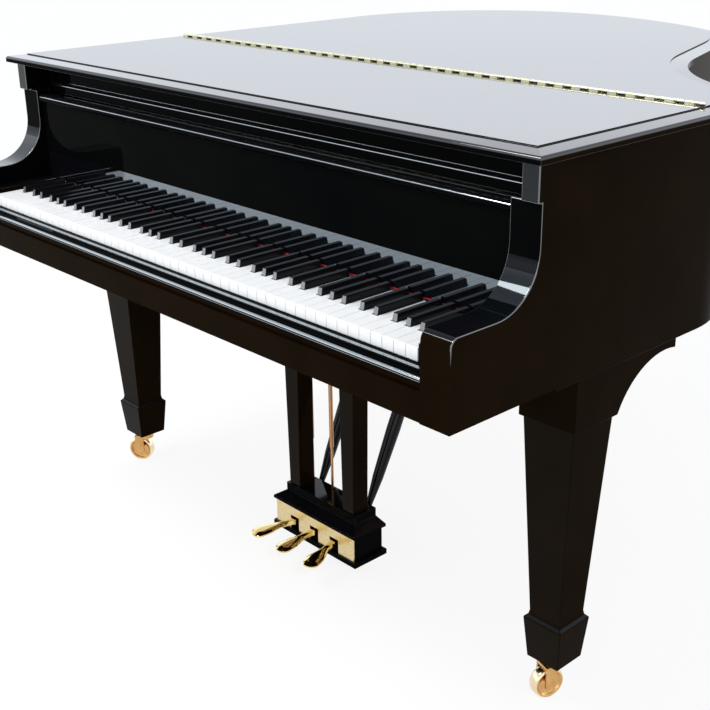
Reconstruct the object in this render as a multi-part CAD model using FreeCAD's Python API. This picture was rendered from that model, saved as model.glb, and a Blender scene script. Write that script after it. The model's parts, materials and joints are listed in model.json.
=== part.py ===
import FreeCAD
import Part
import math
import os

Vec = FreeCAD.Vector

# Drawn in millimetres with X to the right of the player, Y away from the player and Z up.
# Y is zero at the front of the white keys while drawing. The finished pieces are moved
# so that the origin lies on the floor under the middle of the whole piano.

# Overrun of every cut past the face that it leaves
OVERRUN = 2.0

# Turns and the share of a radius at the middle of a quarter turn
RIGHT_ANGLE = 90.0
QUARTER_MID_SHARE = math.sqrt(1 / 2)

# Case seen from above: right side, bent side, tail and left side
RIM_BELOW_BED = 5.0
RIM_OVER_PLATE = 85.0
RIM_WALL = 38.0
INNER_WALL = 42.0
STRAIGHT_SIDE_END = 553.47
BEND_RADIUS = 211.0
BEND_TURN = 62.1
HOLLOW_RADIUS = 496.0
HOLLOW_TURN = 43.8
BENTSIDE_RUN = 213.5
CORNER_RADIUS = 414.0
CORNER_TURN = 43.2
TAIL_RADIUS = 721.5
TAIL_TURN = RIGHT_ANGLE - BEND_TURN + HOLLOW_TURN - CORNER_TURN

# Arms beside the keyboard
ARM_FRONT = -34.0
ARM_BACK = 190.0
ARM_WIDTH = 55.0
ARM_OVER_KEYS = 46.0
ARM_NOSE_RADIUS = 15.0
SCROLL_RADIUS = 85.0
ARM_FACE = 140.0
POST_STEP_DROP = 55.0
POST_FACE = 131.0
POST_WIDTH = 30.0

# Keybed, key slip and key blocks
KEYBED_BOTTOM = 639.0
KEYBED_THICKNESS = 45.0
KEYBED_FRONT = -32.0
KEYBED_BACK = 500.0
SLIP_BACK = -3.0
SLIP_HEIGHT = 27.0
SLIP_TOP_DROP = 2.5
BEAD_RADIUS = 4.5
BEAD_DROP = 5.0
BEAD_RECESS = 1.5
BLOCK_OVER_KEYS = 9.0
BLOCK_WIDTH = 33.0
BLOCK_BACK = 147.0
FIT_GAP = 0.5

# Keys
WHITE_COUNT = 52
KEY_PITCH = 23.5
KEY_GAP = 1.0
KEY_LENGTH = 400.0
KEY_OVER_BED = 45.0
KEY_THICKNESS = 23.0
KEY_HEAD = 50.0
KEY_VISIBLE = 147.0
STICK_DROP = 7.0
SHARP_WIDTH = 11.5
SHARP_TOP_WIDTH = 9.5
SHARP_RISE = 12.0
SHARP_SLOPE = 4.0
SHARP_SLOT = 13.5
SHARP_OFFSET_SHARES = {"c": -0.13, "d": 0.13, "f": -0.17, "g": 0.0, "a": 0.17}
WHITE_LETTERS = "abcdefg"
ACTION_SHIFT = 2.5

# Key frame and action
BALANCE_Y = 226.0
BALANCE_HALF = 14.0
BALANCE_GAP = 1.0
FRONT_RAIL_Y = 25.0
FRONT_RAIL_HALF = 15.0
FRONT_RAIL_HEIGHT = 7.0
BACK_RAIL_Y = 388.0
BACK_RAIL_HALF = 12.0
FRAME_STRIP = 5.0
STRIP_WIDTH = 40.0
STRIP_COUNT = 4
CHEEK_THICKNESS = 11.0
CHEEK_FRONT = 200.0
CHEEK_BACK = 425.0

# Strings, plate and soundboard
NOTE_COUNT = 88
BASS_NOTES = 26
NOTE_MARGIN = 20.0
BASS_BREAK = 45.0
TREBLE_BREAK = 20.0
BASS_STRUT_SHARE = 0.68
TREBLE_STRUT_SHARE = 0.5
STRUT_NOTES = (BASS_NOTES, 44, 62, 77)
STRING_OVER_PLATE = 7.0
BASS_RISE = 15.0
TREBLE_RADIUS = 0.6
BASS_RADIUS = 1.6
TREBLE_FAN_SHARE = 0.10
BASS_FAN_SHARE = 0.42
AGRAFFE_Y = 435.0
HITCH_INSET = 84.0
PLATE_RING = 75.0
PLATE_RING_THICKNESS = 18.0
PLATE_WEB_THICKNESS = 10.0
PLATE_GAP = 3.0
STRUT_WIDTH = 12.0
STRUT_RISE = 18.0
STRUT_DEPTH = 15.0
HITCH_STRIP_NEAR = 26.0
HITCH_STRIP_FAR = 62.0
HITCH_BEHIND = 44.0
BRIDGE_CLEARANCE = 3.0
BOSS_RADIUS = 14.0
PIN_BLOCK_FRONT = 222.0
PIN_BLOCK_BACK = 400.0
PIN_BLOCK_THICKNESS = 35.0
PIN_RADIUS = 3.5
PIN_RISE = 18.0
PIN_DEPTH = 38.0
PIN_ROWS = 3
PIN_ROW_FRONT = 268.0
PIN_ROW_STEP = 38.0
HITCH_PIN_RADIUS = 1.8
HITCH_PIN_RISE = 10.0
SOUNDBOARD_DROP = 44.0
SOUNDBOARD_THICKNESS = 9.0
RIB_COUNT = 7
RIB_WIDTH = 24.0
RIB_HEIGHT = 18.0
BRIDGE_WIDTH = 30.0
BRIDGE_GAP = 0.6
TREBLE_BRIDGE_SHARES = (0.66, 0.34)
BASS_BRIDGE_SHARE = 0.80
BRIDGE_STATIONS = 16

# Belly rail and back beams
BELLY_FRONT = 520.0
BELLY_THICKNESS = 26.0
BEAM_WIDTH = 70.0
BEAM_DROP = 90.0
BEAM_SPREAD_SHARES = ((-0.62, -0.42), (0.0, -0.18), (0.62, 0.05))

# Hammers and wippens
STRIKE_Y = 452.0
STRIKE_DISTANCE = 47.0
HEAD_HEIGHT = 40.0
HEAD_LENGTH = 22.0
HEAD_NOSE = 9.0
HEAD_WIDTH = 10.0
SHANK_LENGTH = 130.0
SHANK_SIZE = 6.0
HAMMER_RAIL_DEPTH = 18.0
HAMMER_RAIL_HEIGHT = 22.0
WIPPEN_WIDTH = 9.0
WIPPEN_HEIGHT = 16.0
WIPPEN_LIFT = 26.0
SHANK_OVER_WIPPEN = 46.0
WIPPEN_FRONT = 330.0
WIPPEN_BACK = 405.0
WIPPEN_RAIL_DEPTH = 18.0

# Dampers
DAMPER_COUNT = 68
DAMPER_Y = 492.0
DAMPER_LENGTH = 40.0
DAMPER_WIDTH = 9.0
DAMPER_HEIGHT = 22.0
DAMPER_GAP = 0.8
DAMPER_WIRE = 0.9
DAMPER_WIRE_OFFSET = 3.6
DAMPER_RAIL_DROP = 10.0
DAMPER_RAIL_THICKNESS = 14.0
DAMPER_RAIL_DEPTH = 16.0

# Fallboard over the keys
FALL_FACE = 150.0
FALL_THICKNESS = 20.0
FALL_OVER_KEYS = 4.0
FALL_UNDER_TRAY = 2.0
FALL_GAP = 2.0
NOSE_RADIUS = 6.5
NOSE_DROP = 2.0

# Music desk and its tray
TRAY_FRONT = 174.0
TRAY_LENGTH = 282.0
TRAY_SIDE_GAP = 7.5
TRAY_DROP = 61.0
TRAY_THICKNESS = 10.0
TRAY_RAIL_DEPTH = 16.0
TRAY_RAIL_HEIGHT = 21.0
TRAY_RAIL_CHAMFER = 4.0
TRAY_LIP_HEIGHT = 32.0
TRAY_LIP_DEPTH = 6.0
TRAY_BORDER = 90.0
SLIDE_HEIGHT = 14.0
SLIDE_WIDTH = 38.0
SLIDE_GAP = 0.3
DESK_HALF = 360.0
DESK_LENGTH = 238.0
DESK_THICKNESS = 11.0
DESK_GAP = 2.5
DESK_SETBACK = 4.0

# Lid and its front flap
LID_GAP = 1.0
LID_OVERHANG = 14.5
LID_FRONT = 114.0
LID_EDGE = 11.5
LID_BEVEL_RISE = 3.5
LID_FIELD_INSET = 33.0
LID_FIELD_RISE = 2.0
SEAM_Y = 548.0
SEAM_GAP = 1.0

# Long brass hinge between flap and lid
KNUCKLE_RADIUS = 2.7
KNUCKLE_PIN = 1.2
PIN_CLEARANCE = 0.05
KNUCKLE_LENGTH = 18.0
KNUCKLE_GAP = 0.5
KNUCKLE_LIFT = 0.3
LEAF_WIDTH = 5.5
LEAF_THICKNESS = 1.2

# Hinges between lid and case
SIDE_HINGE_RADIUS = 5.0
SIDE_HINGE_OUT = 6.0
SIDE_HINGE_DROP = 6.0
SIDE_HINGE_PLACES = (700.0, 1010.0)
SIDE_KNUCKLE = 24.0
SIDE_LEAF = 2.0
SIDE_LEAF_HEIGHT = 30.0

# Lid prop along the bent side
PROP_LENGTH = 618.0
PROP_RADIUS = 9.0
PROP_DROP = 47.0
PROP_OFF_WALL = 62.7
PROP_RUN = 134.6
PROP_AZIMUTH = -68.4
PROP_TILT = 36.6
PROP_LEAN = -27.8
PROP_EYE_RADIUS = 13.0
PROP_EYE_HALF = 6.0
PROP_PIN_RADIUS = 4.0
PROP_EAR = 5.0
PROP_EAR_GAP = 0.5
PROP_FOOT = 12.0
PROP_CUP_HEIGHT = 25.0
PROP_CUP_RADIUS = 17.0
LID_OPEN_ANGLE = 38.0

# Legs, brackets and casters
LEG_SIDE_INSET = 72.5
LEG_Y = 320.0
REAR_LEG_X = -255.0
REAR_LEG_INSET = 186.0
LEG_TOP_HALF = 49.5
LEG_ANKLE_HALF = 32.0
LEG_ANKLE = 171.0
COVE_HALF = 33.5
COVE = 163.0
SPADE_TOP_HALF = 39.5
SPADE_TOP = 157.0
SPADE_BOTTOM_HALF = 32.5
SPADE_BOTTOM = 78.0
BRACKET_HALF = 55.0
BRACKET_HEIGHT = 106.0
KNEE_LENGTH = 150.0
KNEE_TIP = 28.0
CASTER_RADIUS = 30.0
CASTER_WIDTH = 22.0
WHEEL_ROUND = 3.5
CASTER_TRAIL = 13.0
CASTER_TRAIL_ANGLE = 215.0
CASTER_RIGHT_ANGLE = 252.0
AXLE_RADIUS = 4.0
AXLE_CLEARANCE = 0.05
FORK_WALL = 4.0
FORK_GAP = 1.0
FORK_HALF_DEPTH = 11.0
FORK_CROWN = 6.0
CROWN_RADIUS = 18.0
STEM_RADIUS = 6.0
STEM_LENGTH = 40.0
STEM_CLEARANCE = 0.05

# Pedal lyre
LYRE_CENTRE = 4.0
LYRE_FRONT = 338.0
POST_SPACING = 83.0
POST_TOP_HALF = 24.0
POST_FOOT_HALF = 16.0
POST_DEPTH = 40.0
LYRE_HEAD_HEIGHT = 20.0
LYRE_HEAD_HALF = 112.0
BASE_FRONT = 320.0
BASE_BACK = 395.0
BASE_HALF = 122.0
BASE_BOTTOM = 28.0
PLINTH_HEIGHT = 11.0
PLINTH_OUT = 7.0
CORNICE_BOTTOM = 92.0
CORNICE_EDGE = 6.0
CORNICE_RISE = 14.0
CORNICE_OUT = 6.0
CAP_HEIGHT = 18.0
CAP_IN = 15.0
CAP_BACK_IN = 2.0
BASE_WALL = 5.0
PLATE_THICKNESS = 4.0
PLATE_HALF = 121.0
SLOT_WIDTH = 26.0
SLOT_TOP = 70.0
BRACE_FOOT_RADIUS = 4.0
BRACE_CALF_RADIUS = 11.5
BRACE_BELLY_RADIUS = 14.5
BRACE_HEAD_RADIUS = 12.5
BRACE_CALF_SHARE = 0.15
BRACE_BELLY_SHARE = 0.32
BRACE_FOOT_X = 74.0
BRACE_FOOT_Y = 392.0
BRACE_HEAD_X = 78.0
BRACE_HEAD_Y = 645.0
BRACE_BLOCK_HALF = 190.0
BRACE_BLOCK_DEPTH = 115.0
BRACE_BLOCK_HEIGHT = 30.0

# Pedals and rods
PEDAL_SPACING = 62.0
PEDAL_PIVOT_Y = 352.0
PEDAL_Z = 61.0
PEDAL_HEIGHT = 10.0
PEDAL_SHANK = 15.0
PEDAL_TOE = 31.0
PEDAL_TIP_Y = 219.0
PEDAL_FAN = 15.0
PEDAL_PIN_RADIUS = 3.0
PEDAL_PIN_CLEARANCE = 0.05
PEDAL_REAR_Y = 384.0
PEDAL_TAIL = 7.0
PEDAL_TOE_SHARES = ((0.0, 0.47), (0.35, 0.52), (0.62, 0.92), (0.82, 1.0))
ROD_RADIUS = 2.8
ROD_SLEEVE_RADIUS = 4.3
ROD_SLEEVE_LOW = 228.0
ROD_SLEEVE_LENGTH = 370.0
ROD_OFFSET = -15.0
ROD_Y = 384.0
ROD_HOLE_GAP = 2.0
ROD_LIFT_GAP = 0.5
ROD_HEAD_GAP = 12.0
CAVITY_MARGIN = 8.0

# Worked out from the sizes above, first from side to side
KEYBOARD_HALF = WHITE_COUNT * KEY_PITCH / 2
ACTION_HALF = KEYBOARD_HALF + ACTION_SHIFT
CHEEK_OUTER = ACTION_HALF + CHEEK_THICKNESS
BLOCK_INNER = ACTION_HALF + KEY_GAP
ARM_INNER = BLOCK_INNER + BLOCK_WIDTH
HALF = ARM_INNER + ARM_WIDTH
RIM_INNER = HALF - RIM_WALL
TRAY_HALF = ARM_INNER - TRAY_SIDE_GAP
LEG_X = HALF - LEG_SIDE_INSET
SIDE_HINGE_X = -(HALF + SIDE_HINGE_OUT)
HAMMER_PIVOT_Y = STRIKE_Y - SHANK_LENGTH

# Worked out upwards from the keybed to the lid
RIM_BOTTOM = KEYBED_BOTTOM - RIM_BELOW_BED
BRACKET_BOTTOM = KEYBED_BOTTOM - BRACKET_HEIGHT
KEYBED_TOP = KEYBED_BOTTOM + KEYBED_THICKNESS
KEY_TOP = KEYBED_TOP + KEY_OVER_BED
KEY_BOTTOM = KEY_TOP - KEY_THICKNESS
STICK_TOP = KEY_TOP - STICK_DROP
BLOCK_TOP = KEY_TOP + BLOCK_OVER_KEYS
ARM_TOP = KEY_TOP + ARM_OVER_KEYS
FALL_BOTTOM = KEY_TOP + FALL_OVER_KEYS
WIPPEN_BOTTOM = STICK_TOP + WIPPEN_LIFT
SHANK_Z = WIPPEN_BOTTOM + WIPPEN_HEIGHT + SHANK_OVER_WIPPEN
DAMPER_RAIL_TOP = SHANK_Z - DAMPER_RAIL_DROP
STRING_HEIGHT = SHANK_Z + HEAD_HEIGHT + STRIKE_DISTANCE
PLATE_TOP = STRING_HEIGHT - STRING_OVER_PLATE
PLATE_RING_BOTTOM = PLATE_TOP - PLATE_RING_THICKNESS
PLATE_WEB_BOTTOM = PLATE_TOP - PLATE_WEB_THICKNESS
SOUNDBOARD_BOTTOM = PLATE_TOP - SOUNDBOARD_DROP
SOUNDBOARD_TOP = SOUNDBOARD_BOTTOM + SOUNDBOARD_THICKNESS
RIM_TOP = PLATE_TOP + RIM_OVER_PLATE
POST_STEP = RIM_TOP - POST_STEP_DROP
TRAY_BOTTOM = RIM_TOP - TRAY_DROP
FALL_TOP = TRAY_BOTTOM - FALL_UNDER_TRAY
PROP_HEIGHT = RIM_TOP - PROP_DROP
LID_BOTTOM = RIM_TOP + LID_GAP
LID_TOP = LID_BOTTOM + LID_EDGE + LID_BEVEL_RISE + LID_FIELD_RISE
SIDE_HINGE_Z = LID_BOTTOM - SIDE_HINGE_DROP
FLAP_AXIS_Z = LID_TOP + KNUCKLE_RADIUS + KNUCKLE_LIFT
BASE_TOP = CORNICE_BOTTOM + CORNICE_EDGE + CORNICE_RISE
CAP_TOP = BASE_TOP + CAP_HEIGHT


# Small builders
def box(x0, x1, y0, y1, z0, z1):
    return Part.makeBox(x1 - x0, y1 - y0, z1 - z0, Vec(x0, y0, z0))


def rod(start, end, radius):
    direction = end - start
    return Part.makeCylinder(radius, direction.Length, start, direction)


def mirrored(shape):
    return shape.mirror(Vec(0, 0, 0), Vec(1, 0, 0))


def both_sides(shape):
    return Part.makeCompound([mirrored(shape), shape])


def fused(shapes):
    return shapes[0].fuse(shapes[1:]).removeSplitter()


def polygon_face(points):
    return Part.Face(Part.makePolygon(points + [points[0]]))


def plan_prism(points, z0, z1):
    face = polygon_face([Vec(x, y, z0) for x, y in points])
    return face.extrude(Vec(0, 0, z1 - z0))


def profile_bar(edges, x0, x1):
    face = Part.Face(Part.Wire(edges))
    face.translate(Vec(x0, 0, 0))
    return face.extrude(Vec(x1 - x0, 0, 0))


def side_line(a, b):
    return Part.LineSegment(Vec(0, *a), Vec(0, *b)).toShape()


def side_arc(a, through, b):
    return Part.Arc(Vec(0, *a), Vec(0, *through), Vec(0, *b)).toShape()


def side_polygon(points, x0, x1):
    face = polygon_face([Vec(x0, y, z) for y, z in points])
    return face.extrude(Vec(x1 - x0, 0, 0))


def square_wire(cx, cy, half, z):
    corners = ((-half, -half), (half, -half), (half, half), (-half, half))
    points = [Vec(cx + dx, cy + dy, z) for dx, dy in corners]
    return Part.makePolygon(points + [points[0]])


def square_loft(cx, cy, sections):
    wires = [square_wire(cx, cy, half, z) for half, z in sections]
    return Part.makeLoft(wires, True, True)


# Case outline at an inset from the outer face, from the right front round to the left front
def outline_edges(inset, front):
    state = {"at": Vec(HALF - inset, front, 0), "heading": RIGHT_ANGLE}
    edges = []

    def forward(length):
        angle = math.radians(state["heading"])
        end = state["at"] + Vec(math.cos(angle), math.sin(angle), 0) * length
        edges.append(Part.LineSegment(state["at"], end).toShape())
        state["at"] = end

    def turn(radius, degrees):
        side = math.copysign(1.0, degrees)
        radius_here = radius - side * inset
        angle = math.radians(state["heading"])
        centre = state["at"] + Vec(-math.sin(angle), math.cos(angle), 0) * side * radius_here
        spoke = state["at"] - centre
        rotate = FreeCAD.Rotation(Vec(0, 0, 1), degrees / 2)
        middle = centre + rotate.multVec(spoke)
        end = centre + rotate.multVec(rotate.multVec(spoke))
        edges.append(Part.Arc(state["at"], middle, end).toShape())
        state["at"] = end
        state["heading"] += degrees

    forward(STRAIGHT_SIDE_END - front)
    turn(BEND_RADIUS, BEND_TURN)
    turn(HOLLOW_RADIUS, -HOLLOW_TURN)
    forward(BENTSIDE_RUN)
    turn(CORNER_RADIUS, CORNER_TURN)
    turn(TAIL_RADIUS, TAIL_TURN)
    turn(state["at"].x + HALF, RIGHT_ANGLE)
    forward(state["at"].y - front)
    edges.append(Part.LineSegment(state["at"], Vec(HALF - inset, front, 0)).toShape())
    return edges


def outline_wire(inset, front, z):
    wire = Part.Wire(outline_edges(inset, front))
    wire.translate(Vec(0, 0, z))
    return wire


def outline_prism(inset, front, z0, z1):
    return Part.Face(outline_wire(inset, front, z0)).extrude(Vec(0, 0, z1 - z0))


def run_point(inset):
    run = outline_edges(inset, ARM_BACK)[3]
    start = run.firstVertex().Point
    along = run.lastVertex().Point - start
    return start + along.normalize() * PROP_RUN


TAIL_Y = Part.Wire(outline_edges(-LID_OVERHANG, ARM_BACK)).BoundBox.YMax
REAR_LEG_Y = TAIL_Y - REAR_LEG_INSET


# Case
def outer_rim():
    solid = outline_prism(0, ARM_BACK, RIM_BOTTOM, RIM_TOP)
    return solid.cut(outline_prism(RIM_WALL, ARM_BACK - OVERRUN, RIM_BOTTOM - OVERRUN, RIM_TOP + OVERRUN))


def inner_rim():
    front = BELLY_FRONT + BELLY_THICKNESS
    solid = outline_prism(RIM_WALL, front, RIM_BOTTOM, SOUNDBOARD_BOTTOM)
    inset = RIM_WALL + INNER_WALL
    return solid.cut(outline_prism(inset, front - OVERRUN, RIM_BOTTOM - OVERRUN, SOUNDBOARD_BOTTOM + OVERRUN))


def arms():
    nose = ARM_NOSE_RADIUS
    bend = QUARTER_MID_SHARE
    centre_y = ARM_FACE - SCROLL_RADIUS
    centre_z = ARM_TOP + SCROLL_RADIUS
    nose_mid = (ARM_FRONT + nose * (1 - bend), ARM_TOP - nose * (1 - bend))
    scroll_mid = (centre_y + SCROLL_RADIUS * bend, centre_z - SCROLL_RADIUS * bend)
    edges = [
        side_line((ARM_BACK, KEYBED_BOTTOM), (ARM_FRONT, KEYBED_BOTTOM)),
        side_line((ARM_FRONT, KEYBED_BOTTOM), (ARM_FRONT, ARM_TOP - nose)),
        side_arc((ARM_FRONT, ARM_TOP - nose), nose_mid, (ARM_FRONT + nose, ARM_TOP)),
        side_line((ARM_FRONT + nose, ARM_TOP), (centre_y, ARM_TOP)),
        side_arc((centre_y, ARM_TOP), scroll_mid, (ARM_FACE, centre_z)),
        side_line((ARM_FACE, centre_z), (ARM_FACE, RIM_TOP)),
        side_line((ARM_FACE, RIM_TOP), (ARM_BACK, RIM_TOP)),
        side_line((ARM_BACK, RIM_TOP), (ARM_BACK, KEYBED_BOTTOM)),
    ]
    arm = profile_bar(edges, ARM_INNER, HALF)
    post = box(HALF - POST_WIDTH, HALF, POST_FACE, ARM_BACK, POST_STEP, RIM_TOP)
    notch = box(ARM_INNER - OVERRUN, HALF - POST_WIDTH, ARM_FRONT, ARM_BACK + OVERRUN,
                POST_STEP, RIM_TOP + OVERRUN)
    return both_sides(fused([arm, post]).cut(notch))


def keybed():
    front = box(-ARM_INNER, ARM_INNER, KEYBED_FRONT, ARM_BACK, KEYBED_BOTTOM, KEYBED_TOP)
    back = box(-RIM_INNER, RIM_INNER, ARM_BACK, KEYBED_BACK, KEYBED_BOTTOM, KEYBED_TOP)
    return fused([front, back])


def key_slip():
    top = KEYBED_TOP + SLIP_HEIGHT
    face = KEYBED_FRONT + BEAD_RADIUS + BEAD_RECESS
    bead_top = top - SLIP_TOP_DROP - BEAD_DROP
    bead_low = bead_top - 2 * BEAD_RADIUS
    edges = [
        side_line((SLIP_BACK, KEYBED_TOP), (SLIP_BACK, top)),
        side_line((SLIP_BACK, top), (face, top - SLIP_TOP_DROP)),
        side_line((face, top - SLIP_TOP_DROP), (face, bead_top)),
        side_arc((face, bead_top), (face - BEAD_RADIUS, bead_top - BEAD_RADIUS), (face, bead_low)),
        side_line((face, bead_low), (face, KEYBED_TOP)),
        side_line((face, KEYBED_TOP), (SLIP_BACK, KEYBED_TOP)),
    ]
    return profile_bar(edges, -ARM_INNER, ARM_INNER)


def key_blocks():
    block = box(BLOCK_INNER, ARM_INNER, SLIP_BACK, BLOCK_BACK, KEYBED_TOP, BLOCK_TOP)
    return both_sides(block)


def back_beams():
    back = BELLY_FRONT + BELLY_THICKNESS
    pieces = [box(-RIM_INNER, RIM_INNER, BELLY_FRONT, back, RIM_BOTTOM, SOUNDBOARD_BOTTOM)]
    inside = outline_prism(RIM_WALL + INNER_WALL, BELLY_FRONT, RIM_BOTTOM, SOUNDBOARD_BOTTOM)
    half = BEAM_WIDTH / 2
    seat_ends = []
    for start_share, end_share in BEAM_SPREAD_SHARES:
        x0 = start_share * HALF
        x1 = end_share * HALF
        plan = [(x0 - half, back), (x0 + half, back), (x1 + half, TAIL_Y), (x1 - half, TAIL_Y)]
        pieces.append(plan_prism(plan, RIM_BOTTOM, RIM_BOTTOM + BEAM_DROP).common(inside))
        seat_ends.append(x0 + (x1 - x0) * (REAR_LEG_Y - back) / (TAIL_Y - back))
    seat = box(seat_ends[0], seat_ends[1], REAR_LEG_Y - BRACKET_HALF, REAR_LEG_Y + BRACKET_HALF,
               RIM_BOTTOM, RIM_BOTTOM + BEAM_DROP)
    pieces.append(seat.common(inside))
    block = box(LYRE_CENTRE - BRACE_BLOCK_HALF, LYRE_CENTRE + BRACE_BLOCK_HALF, BELLY_FRONT,
                back + BRACE_BLOCK_DEPTH, RIM_BOTTOM, RIM_BOTTOM + BRACE_BLOCK_HEIGHT)
    pieces.append(block)
    return fused(pieces)


def prop_frame():
    corner = run_point(RIM_WALL + PROP_OFF_WALL)
    pivot = Vec(corner.x, corner.y, PROP_HEIGHT)
    azimuth = math.radians(PROP_AZIMUTH)
    tilt = math.radians(PROP_TILT)
    lean = math.radians(PROP_LEAN)
    stowed = Vec(math.cos(azimuth), math.sin(azimuth), 0)
    raised = Vec(-math.sin(tilt), math.cos(tilt) * math.sin(lean), math.cos(tilt) * math.cos(lean))
    axis = stowed.cross(raised)
    axis.normalize()
    return pivot, stowed, raised, axis


# Sounding parts
def break_gap(note):
    return BASS_BREAK if note == BASS_NOTES else TREBLE_BREAK


def note_x(note):
    span = KEYBOARD_HALF - NOTE_MARGIN
    pitch = (2 * span - sum(break_gap(stop) for stop in STRUT_NOTES)) / (NOTE_COUNT - 1)
    return -span + pitch * note + sum(break_gap(stop) for stop in STRUT_NOTES if stop <= note)


def bridge_share(note):
    if note < BASS_NOTES:
        return BASS_BRIDGE_SHARE
    first, last = TREBLE_BRIDGE_SHARES
    return first + (last - first) * (note - BASS_NOTES) / (NOTE_COUNT - 1 - BASS_NOTES)


# A bass string runs to the rim of the plate, a treble string to the strip behind its bridge
def string_ends(note):
    bass = note < BASS_NOTES
    z = STRING_HEIGHT + (BASS_RISE if bass else 0)
    fan = BASS_FAN_SHARE if bass else -TREBLE_FAN_SHARE
    start = Vec(note_x(note), AGRAFFE_Y, z)
    far = start + Vec(fan * TAIL_Y, TAIL_Y, 0)
    hitch_line = outline_wire(HITCH_INSET, AGRAFFE_Y - OVERRUN, z)
    hits = Part.LineSegment(start, far).toShape().distToShape(hitch_line)[1]
    rim = min((pair[0] for pair in hits), key=lambda point: point.distanceToPoint(start))
    bridge = start + (rim - start) * bridge_share(note)
    if bass:
        return start, rim, bridge
    return start, bridge + (rim - start).normalize() * HITCH_BEHIND, bridge


STRINGS = [string_ends(note) for note in range(NOTE_COUNT)]


def pin_spot(note):
    return Vec(note_x(note), PIN_ROW_FRONT + PIN_ROW_STEP * (note % PIN_ROWS), PLATE_TOP)


def strings():
    pieces = []
    for note, (start, end, bridge) in enumerate(STRINGS):
        radius = BASS_RADIUS if note < BASS_NOTES else TREBLE_RADIUS
        pieces.append(rod(start, end, radius))
    return Part.makeCompound(pieces)


def tuning_pins():
    pieces = []
    for note, (start, end, bridge) in enumerate(STRINGS):
        spot = pin_spot(note)
        pieces.append(rod(spot - Vec(0, 0, PIN_DEPTH), spot + Vec(0, 0, PIN_RISE), PIN_RADIUS))
        foot = Vec(end.x, end.y, PLATE_TOP)
        beyond = (end - start).normalize() * (BASS_RADIUS + HITCH_PIN_RADIUS + FIT_GAP)
        top = Vec(0, 0, end.z - PLATE_TOP + HITCH_PIN_RISE - BASS_RISE / 2)
        pieces.append(rod(foot + beyond, foot + beyond + top, HITCH_PIN_RADIUS))
    return Part.makeCompound(pieces)


def pin_block():
    return box(-RIM_INNER, RIM_INNER, PIN_BLOCK_FRONT, PIN_BLOCK_BACK,
               PLATE_WEB_BOTTOM - PIN_BLOCK_THICKNESS, PLATE_WEB_BOTTOM)


def iron_plate():
    edge = RIM_WALL + PLATE_GAP
    front = AGRAFFE_Y - PLATE_GAP
    ring = outline_prism(edge, front, PLATE_RING_BOTTOM, PLATE_TOP)
    opening = outline_prism(edge + PLATE_RING, front - OVERRUN,
                            PLATE_RING_BOTTOM - OVERRUN, PLATE_TOP + OVERRUN)
    half = HALF - edge
    web = box(-half, half, PIN_BLOCK_FRONT, front, PLATE_WEB_BOTTOM, PLATE_TOP)
    pieces = [ring.cut(opening), web]
    inside = outline_prism(edge, PIN_BLOCK_FRONT, RIM_BOTTOM, RIM_TOP)
    w = STRUT_WIDTH / 2
    fan = -TREBLE_FAN_SHARE * (TAIL_Y - AGRAFFE_Y)
    for note in STRUT_NOTES:
        share = BASS_STRUT_SHARE if note == BASS_NOTES else TREBLE_STRUT_SHARE
        x = note_x(note - 1) + (note_x(note) - note_x(note - 1)) * share
        plan = [(x - w, PIN_BLOCK_BACK), (x + w, PIN_BLOCK_BACK), (x + w, AGRAFFE_Y), (x + w + fan, TAIL_Y),
                (x - w + fan, TAIL_Y), (x - w, AGRAFFE_Y)]
        bar = plan_prism(plan, PLATE_TOP - STRUT_DEPTH, PLATE_TOP + STRUT_RISE).common(inside)
        room = box(-HALF, HALF, PIN_BLOCK_FRONT, front, RIM_BOTTOM, PLATE_WEB_BOTTOM)
        pieces.append(bar.cut(room))
    near = []
    far = []
    for note in treble_stations():
        start, end, bridge = STRINGS[note]
        along = (end - start).normalize()
        near.append((bridge + along * HITCH_STRIP_NEAR)[0:2])
        far.append((bridge + along * HITCH_STRIP_FAR)[0:2])
    pieces.append(plan_prism(near + far[::-1], PLATE_TOP - STRUT_DEPTH, PLATE_TOP).common(inside))
    for corner in outline_edges(edge + INNER_WALL / 2, BELLY_FRONT)[1:7]:
        at = corner.firstVertex().Point
        boss = rod(Vec(at.x, at.y, SOUNDBOARD_TOP), Vec(at.x, at.y, PLATE_TOP), BOSS_RADIUS)
        pieces.append(boss.common(inside))
    return fused(pieces).cut(bridge_solids(BRIDGE_CLEARANCE))


def soundboard():
    board = outline_prism(RIM_WALL, BELLY_FRONT, SOUNDBOARD_BOTTOM, SOUNDBOARD_TOP)
    clear = RIM_WALL + INNER_WALL + FIT_GAP
    room = outline_prism(clear, BELLY_FRONT + BELLY_THICKNESS + FIT_GAP, RIM_BOTTOM, SOUNDBOARD_BOTTOM)
    pieces = [board]
    step = (TAIL_Y - BELLY_FRONT) / (RIB_COUNT + 1)
    for index in range(RIB_COUNT):
        y = BELLY_FRONT + step * (index + 1)
        bar = box(-HALF, HALF, y - RIB_WIDTH / 2, y + RIB_WIDTH / 2,
                  SOUNDBOARD_BOTTOM - RIB_HEIGHT, SOUNDBOARD_BOTTOM)
        pieces.append(bar.common(room))
    return fused(pieces)


def treble_stations():
    count = BRIDGE_STATIONS - 1
    return [BASS_NOTES + (NOTE_COUNT - 1 - BASS_NOTES) * k // count for k in range(BRIDGE_STATIONS)]


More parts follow.
